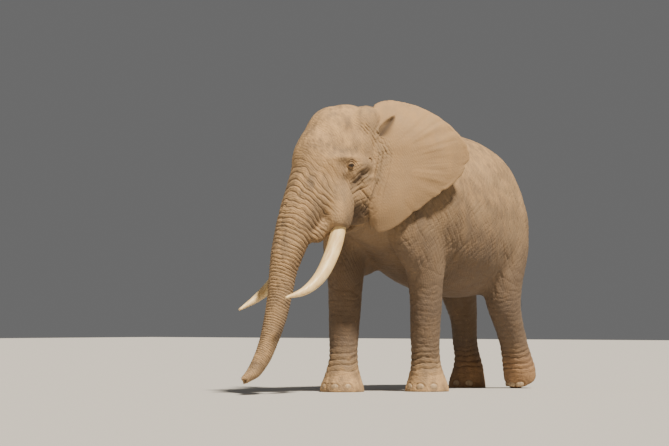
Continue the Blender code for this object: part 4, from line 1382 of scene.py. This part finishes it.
def lashes(eyes, skin_points, uv):
    """Long lashes along the upper lid and a few below."""
    rng = np.random.default_rng(9)
    roots = []
    for side, centre in eyes.items():
        outward, up, ahead = eye_ways(side)
        close = np.nonzero(np.linalg.norm(skin_points - centre - OFFSET, axis=1) < 0.1)[0]
        for k in range(LASHES):
            upper = k < LASHES * 0.75
            x = rng.uniform(-0.9, 0.95) * LID_OPENING[0]
            arch = 1 - (x / LID_OPENING[0]) ** 2
            y = (LID_OPENING[1] if upper else -LID_OPENING[2]) * arch
            z = math.sqrt(max((EYE_RADIUS + 0.005) ** 2 - x * x - y * y, 0.0001))
            place = centre + OFFSET + ahead * x + up * y + outward * z
            out = outward + ahead * (x / 0.05) + up * (-0.25 if upper else -0.7)
            layout = uv[nearest_point(skin_points, close, place)]
            length = rng.uniform(0.045, 0.075) if upper else rng.uniform(0.015, 0.03)
            roots.append((at(*place), at(*out).normalized(), length, 0.0009, 0.16, layout, 5))
    return hairs("lashes", roots)


def bristles(skin_points, normals, zone, uv):
    """Sparse stiff bristles on the crown, the trunk, the chin and the back."""
    rng = np.random.default_rng(13)
    h = head_coords(skin_points - OFFSET)
    chance = 0.35 * (zone == HEAD_ZONE) * step(h[:, 2], 0.1, 0.5)
    chance += 0.45 * (zone == HEAD_ZONE) * (1 - step(h[:, 2], -0.9, -0.6))
    chance += 0.9 * near(h, (0, 0.45, -0.85), (0.2, 0.25, 0.15))
    chance += 0.12 * (zone == BODY_ZONE) * step(skin_points[:, 2], 2.7, 3.0)
    chosen = rng.choice(len(chance), BRISTLES, replace=False, p=chance / chance.sum())
    roots = []
    for i in chosen:
        out = normals[i] + rng.normal(0, 0.25, 3) + (0, 0, -0.2)
        length = rng.uniform(0.02, 0.05)
        roots.append((at(*skin_points[i]), at(*out).normalized(), length, 0.0006, 0.10, uv[i], 3))
    return hairs("bristles", roots)


# ---------------------------------------------------------------- finishes
class Finish:
    """A Principled material built up node by node."""

    def __init__(self, name, roughness):
        self.made = bpy.data.materials.new(name)
        self.made.use_nodes = True
        self.shader = self.made.node_tree.nodes["Principled BSDF"]
        self.shader.inputs["Roughness"].default_value = roughness
        self.place = self.node("TexCoord").outputs["Object"]

    def put(self, value, socket):
        """Sets a socket to a number, a vector or a colour, or links it."""
        if isinstance(value, (int, float)):
            socket.default_value = value
        elif isinstance(value, tuple):
            socket.default_value = (*value, 1) if len(socket.default_value) == 4 else value
        else:
            self.made.node_tree.links.new(value, socket)

    def node(self, kind, values=None, **settings):
        """A new node with its settings and what goes into its sockets."""
        node = self.made.node_tree.nodes.new("ShaderNode" + kind)
        for name, setting in settings.items():
            setattr(node, name, setting)
        for socket, value in (values or {}).items():
            self.put(value, node.inputs[socket])
        return node

    def math(self, kind, a, b=0.0, clamp=False):
        return self.node("Math", {0: a, 1: b}, operation=kind, use_clamp=clamp).outputs[0]

    def times(self, a, b):
        return self.math("MULTIPLY", a, b)

    def plus(self, a, b):
        return self.math("ADD", a, b)

    def most(self, a, b):
        return self.math("MAXIMUM", a, b)

    def along(self, place, way):
        """How far along a way places lie."""
        return self.node("VectorMath", {0: place, 1: way}, operation="DOT_PRODUCT").outputs["Value"]

    def share(self, name):
        """A number kept on the mesh."""
        return self.node("Attribute", attribute_name=name).outputs["Fac"]

    def grain(self, size, detail=3.0, roughness=0.55, place=None):
        """Noise from 0 to 1 with grains of a size in metres."""
        values = {"Vector": place or self.place, "Scale": 1 / size, "Detail": detail, "Roughness": roughness}
        return self.node("TexNoise", values).outputs["Fac"]

    def warped(self, size, reach, turn=(0, 0, 0), scale=(1, 1, 1)):
        """Places bent a little by noise, turned and stretched."""
        bend = self.node("TexNoise", {"Vector": self.place, "Scale": 1 / size, "Detail": 2}).outputs["Color"]
        bent = self.node("VectorMath", {0: bend, 1: (reach,) * 3, 2: self.place}, operation="MULTIPLY_ADD")
        values = {"Vector": bent.outputs[0], "Rotation": turn, "Scale": scale}
        return self.node("Mapping", values, vector_type="TEXTURE").outputs[0]

    def wrinkles(self, size, wide, place):
        """0 in long wandering lines, 1 between them."""
        off = self.math("ABSOLUTE", self.math("SUBTRACT", self.grain(size, 1.5, 0.4, place), 0.5))
        return self.spread(off, 0, wide)

    def hatch(self, spacing, across, place):
        """0 in roughly level lines square to a way, wavering and broken, 1 between them."""
        wave = self.math("SINE", self.along(place, tuple(c * math.pi / spacing for c in across)))
        line = self.math("POWER", self.math("ABSOLUTE", wave), 0.5)
        return self.most(line, self.spread(self.grain(spacing * 4, 3), 0.48, 0.70, 0, 0.8))

    def choose(self, share, a, b):
        """A number between a and b."""
        return self.node("Mix", {0: share, 2: a, 3: b}).outputs[0]

    def cracks(self, size, wide, place):
        """0 along the edges of a net of cells, 1 inside them."""
        cells = self.node("TexVoronoi", {"Vector": place, "Scale": 1 / size}, feature="DISTANCE_TO_EDGE")
        return self.spread(cells.outputs["Distance"], 0, wide)

    def spread(self, value, low, high, to_low=0.0, to_high=1.0):
        """Carries the numbers from low to high smoothly onto others."""
        values = {"Value": value, "From Min": low, "From Max": high, "To Min": to_low, "To Max": to_high}
        return self.node("MapRange", values, interpolation_type="SMOOTHSTEP").outputs[0]

    def mix(self, share, a, b):
        """A colour between a and b."""
        return self.node("Mix", {0: share, 6: a, 7: b}, data_type="RGBA").outputs[2]

    def finished(self, **values):
        """The material, with what goes into its shader's sockets, and bumps given by their height and depth."""
        height, depth = values.pop("bumps", (None, 0))
        if height is not None:
            bump = self.node("Bump", {"Distance": depth, "Height": height})
            self.put(bump.outputs[0], self.shader.inputs["Normal"])
        for name, value in values.items():
            self.put(value, self.shader.inputs[name.replace("_", " ")])
        return self.made


def skin_finish():
    """Dry grey-brown hide: fine wrinkles over pebbles, painted shade in its creases, cracks, recesses and
    underside, pale earth dusted over it, made paler still as painted light where the skin faces up.
    """
    f = Finish("hide", 0.85)
    crease_shade_and_dark_lids, dust_and_painted_light, stain_and_shade, shade, rust = (f.share(n) for n in ("crease_shade_and_dark_lids", "dust_and_painted_light", "stain_and_shade", "shade", "rust"))
    ear, ringed, face, level = (f.share(n) for n in ("ear", "ringed", "face", "level"))
    waved = f.warped(0.22, 0.12)
    steep = f.hatch(0.026, (0.30, 0.84, 0.48), waved)
    crossing = f.hatch(0.031, (0.45, -0.50, 0.74), waved)
    lattice = f.times(steep, f.plus(f.times(crossing, 0.65), 0.35))
    around = f.node("CombineXYZ", {0: level, 1: f.along(f.place, (0.16, 0.10, 0.0))}).outputs[0]
    rings = f.wrinkles(0.020, 0.10, around)
    pebbles = f.cracks(0.0105, 0.32, f.warped(0.03, 0.010))
    lumps = f.grain(0.020, 3)
    lattice = f.math("MAXIMUM", lattice, f.times(face, 0.5), True)
    lattice = f.most(lattice, f.spread(f.grain(0.35, 2), 0.35, 0.75, 0.0, 0.50))
    net = f.most(f.choose(ringed, lattice, rings), f.times(ear, 0.70))
    pebbly = f.times(f.choose(face, 0.12, 0.26), f.spread(f.grain(0.16, 2), 0.35, 0.65, 0.35, 1.0))
    height = f.plus(f.plus(f.times(net, 0.60), f.times(pebbles, pebbly)), f.times(lumps, 0.35))

    broad = f.spread(f.grain(0.55, 3), 0.35, 0.65)
    patch = f.grain(0.10, 5, 0.6, f.warped(0.2, 0.05, (0, 0, 0), (1, 1, 2.2)))
    # Painted shade in the valleys of the wrinkle net and between the pebbles.
    crack_shade = f.times(f.math("SUBTRACT", 1.0, net), 0.22)
    crack_shade = f.plus(crack_shade, f.times(f.math("SUBTRACT", 1.0, pebbles), 0.12))
    base = f.mix(broad, HIDE_DARK, HIDE_LIGHT)
    for share, colour in (
        (f.spread(patch, 0.42, 0.70, 0, 0.5), HIDE_WARM),
        # pale earth, partly painted light on skin facing up and forward
        (f.times(f.times(dust_and_painted_light, f.spread(patch, 0.20, 0.72)), 0.75), DUST_AND_PAINTED_LIGHT),
        (f.times(ear, 0.55), EAR_TINT),
        (f.times(rust, 0.55), RUST),
        # painted shade on the underside and lower body
        (f.times(shade, 0.76), UNDERSIDE_SHADE),
        (f.spread(lumps, 0.58, 0.72, 0, 0.20), DUST_AND_PAINTED_LIGHT),
        (crack_shade, CRACK_SHADE),
        # the temporal gland's stained skin, and painted shade in the recess behind the cheek
        (f.times(stain_and_shade, 0.75), STAIN_AND_SHADE),
        # painted shade in the creases, pocket, lid folds and nostrils, and the lids' own dark rims
        (f.times(f.math("POWER", crease_shade_and_dark_lids, 1.3), 0.85), CREASE_SHADE_AND_DARK_LIDS),
    ):
        base = f.mix(share, base, colour)
    rough = f.spread(patch, 0.3, 0.7, 0.78, 0.95)
    return f.finished(Base_Color=base, Roughness=rough, bumps=(height, 0.0050))


def ivory_finish():
    """Creamy ivory, warmer in patches, with fine lengthwise cracks."""
    f = Finish("tusk", 0.38)
    streak = f.grain(0.02, 4, 0.6, f.warped(0.2, 0.01, (0.35, 0, 0), (1, 8, 8)))
    base = f.mix(f.spread(streak, 0.35, 0.70), IVORY, IVORY_DARK)
    base = f.mix(f.spread(f.grain(0.12, 3), 0.45, 0.75, 0, 0.45), base, IVORY_WARM)
    rough = f.spread(streak, 0.3, 0.7, 0.42, 0.60)
    return f.finished(Base_Color=base, Roughness=rough, bumps=(streak, 0.0012))


def nail_finish():
    """Dull horn, dusty and streaked."""
    f = Finish("horn", 0.6)
    streak = f.grain(0.012, 4, 0.6, f.warped(0.05, 0.005, (0, 0, 0), (1, 1, 4)))
    base = f.mix(f.spread(streak, 0.35, 0.65), NAIL_LIGHT, NAIL_DARK)
    return f.finished(Base_Color=base, bumps=(streak, 0.002))


def eye_finish():
    """A wet dark eye: brown iris, black pupil, dark rim and dull white."""
    f = Finish("wet_eye", 0.06)
    turned = f.share("turned")
    iris = f.mix(f.spread(f.grain(0.002, 3), 0.3, 0.7), IRIS_DARK, IRIS_LIGHT)
    base = f.mix(f.spread(turned, 14, 16), PUPIL, iris)
    base = f.mix(f.spread(turned, 31, 37), base, IRIS_RIM)
    return f.finished(Base_Color=f.mix(f.spread(turned, 44, 56), base, EYE_WHITE))


def hair_finish():
    """Near-black hair."""
    f = Finish("bristle", 0.5)
    return f.finished(Base_Color=f.mix(f.grain(0.02), HAIR_DARK, HAIR_LIGHT))


def dressed(obj, finish, slot, *nodes):
    """Gives a piece its finish, hangs it from the root body and hides the imported parts it stands in for."""
    obj.data.materials.clear()
    obj.data.materials.append(finish)
    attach(obj, "root")
    if nodes:
        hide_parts(*nodes)
    return obj


# ---------------------------------------------------------------- building
plain_tusk = tube("measure", TUSK_LEFT, 1, 12, 2)
plain_tusk.data.transform(head_matrix())
corners = np.array([v.co for v in plain_tusk.data.vertices])
SHIFT = np.array(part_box("tusk_left")[0]) - corners.min(0)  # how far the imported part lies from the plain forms
OFFSET = SHIFT * (1, -1, 1)  # the same, in the animal's own directions
bpy.data.objects.remove(plain_tusk)

eyes = eye_middles()
hide, uv, zone = skin(eyes)
flesh_nodes = [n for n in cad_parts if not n.startswith(("tusk", "eye", "nail", "tail_tuft"))]
dressed(hide, skin_finish(), "skin", *flesh_nodes)

ivory = ivory_finish()
dressed(tusk("ivory_left", TUSK_LEFT, 1), ivory, "ivory", "tusk_left")
dressed(tusk("ivory_right", TUSK_RIGHT, -1), ivory, "ivory", "tusk_right")
wet = eye_finish()
for side, name in ((1, "eye_left"), (-1, "eye_right")):
    dressed(eyeball("ball_" + name, side, eyes[side]), wet, "eye", name)
horn = joined("horn_nails", toenails())
horn.data.shade_smooth()
dressed(horn, nail_finish(), "nail", *[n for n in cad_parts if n.startswith("nail")])

surface_points, surface_normals = points_of(hide), normals_of(hide)
dark_hair = hair_finish()
dressed(tail_hairs(surface_points, uv), dark_hair, "hair", "tail_tuft")
dressed(lashes(eyes, surface_points, uv), dark_hair, "hair")
dressed(bristles(surface_points, surface_normals, zone, uv), dark_hair, "hair")

# ---------------------------------------------------------------- floor, light and camera
bpy.ops.mesh.primitive_plane_add(size=120, location=(0, 0, 0))
floor = bpy.context.object
floor.name = "floor"
ground = bpy.data.materials.new("pale_floor")
ground.use_nodes = True
ground.node_tree.nodes["Principled BSDF"].inputs["Base Color"].default_value = (*FLOOR, 1)
ground.node_tree.nodes["Principled BSDF"].inputs["Roughness"].default_value = 0.9
floor.data.materials.append(ground)

world = bpy.data.worlds.new("studio")
bpy.context.scene.world = world
world.use_nodes = True
world.node_tree.nodes["Background"].inputs["Color"].default_value = (*SKY, 1)
world.node_tree.nodes["Background"].inputs["Strength"].default_value = SKY_STRENGTH

for name, (toward, strength, angle, colour) in SUNS.items():
    lamp = bpy.data.objects.new(name, bpy.data.lights.new(name, "SUN"))
    lamp.data.energy, lamp.data.angle, lamp.data.color = strength, math.radians(angle), colour
    lamp.rotation_euler = Vector(toward).to_track_quat("-Z", "Y").to_euler()
    bpy.context.scene.collection.objects.link(lamp)

foot = Vector(SHIFT) + at(*CAMERA_FOOT)
away = math.radians(CAMERA_TURN)
camera = bpy.data.objects.new("camera", bpy.data.cameras.new("camera"))
bpy.context.scene.collection.objects.link(camera)
camera.location = foot + Vector((math.sin(away), -math.cos(away), 0)) * CAMERA_FAR
camera.location.z = CAMERA_HEIGHT
look = Matrix.Rotation(math.radians(CAMERA_PAN), 3, "Z") @ Vector((-math.sin(away), math.cos(away), 0))
look = look * math.cos(math.radians(CAMERA_TILT)) + Vector((0, 0, math.sin(math.radians(CAMERA_TILT))))
camera.rotation_euler = look.to_track_quat("-Z", "Y").to_euler()
camera.data.sensor_width, camera.data.lens = 36, CAMERA_LENS
camera.data.clip_end = 500
bpy.context.scene.camera = camera
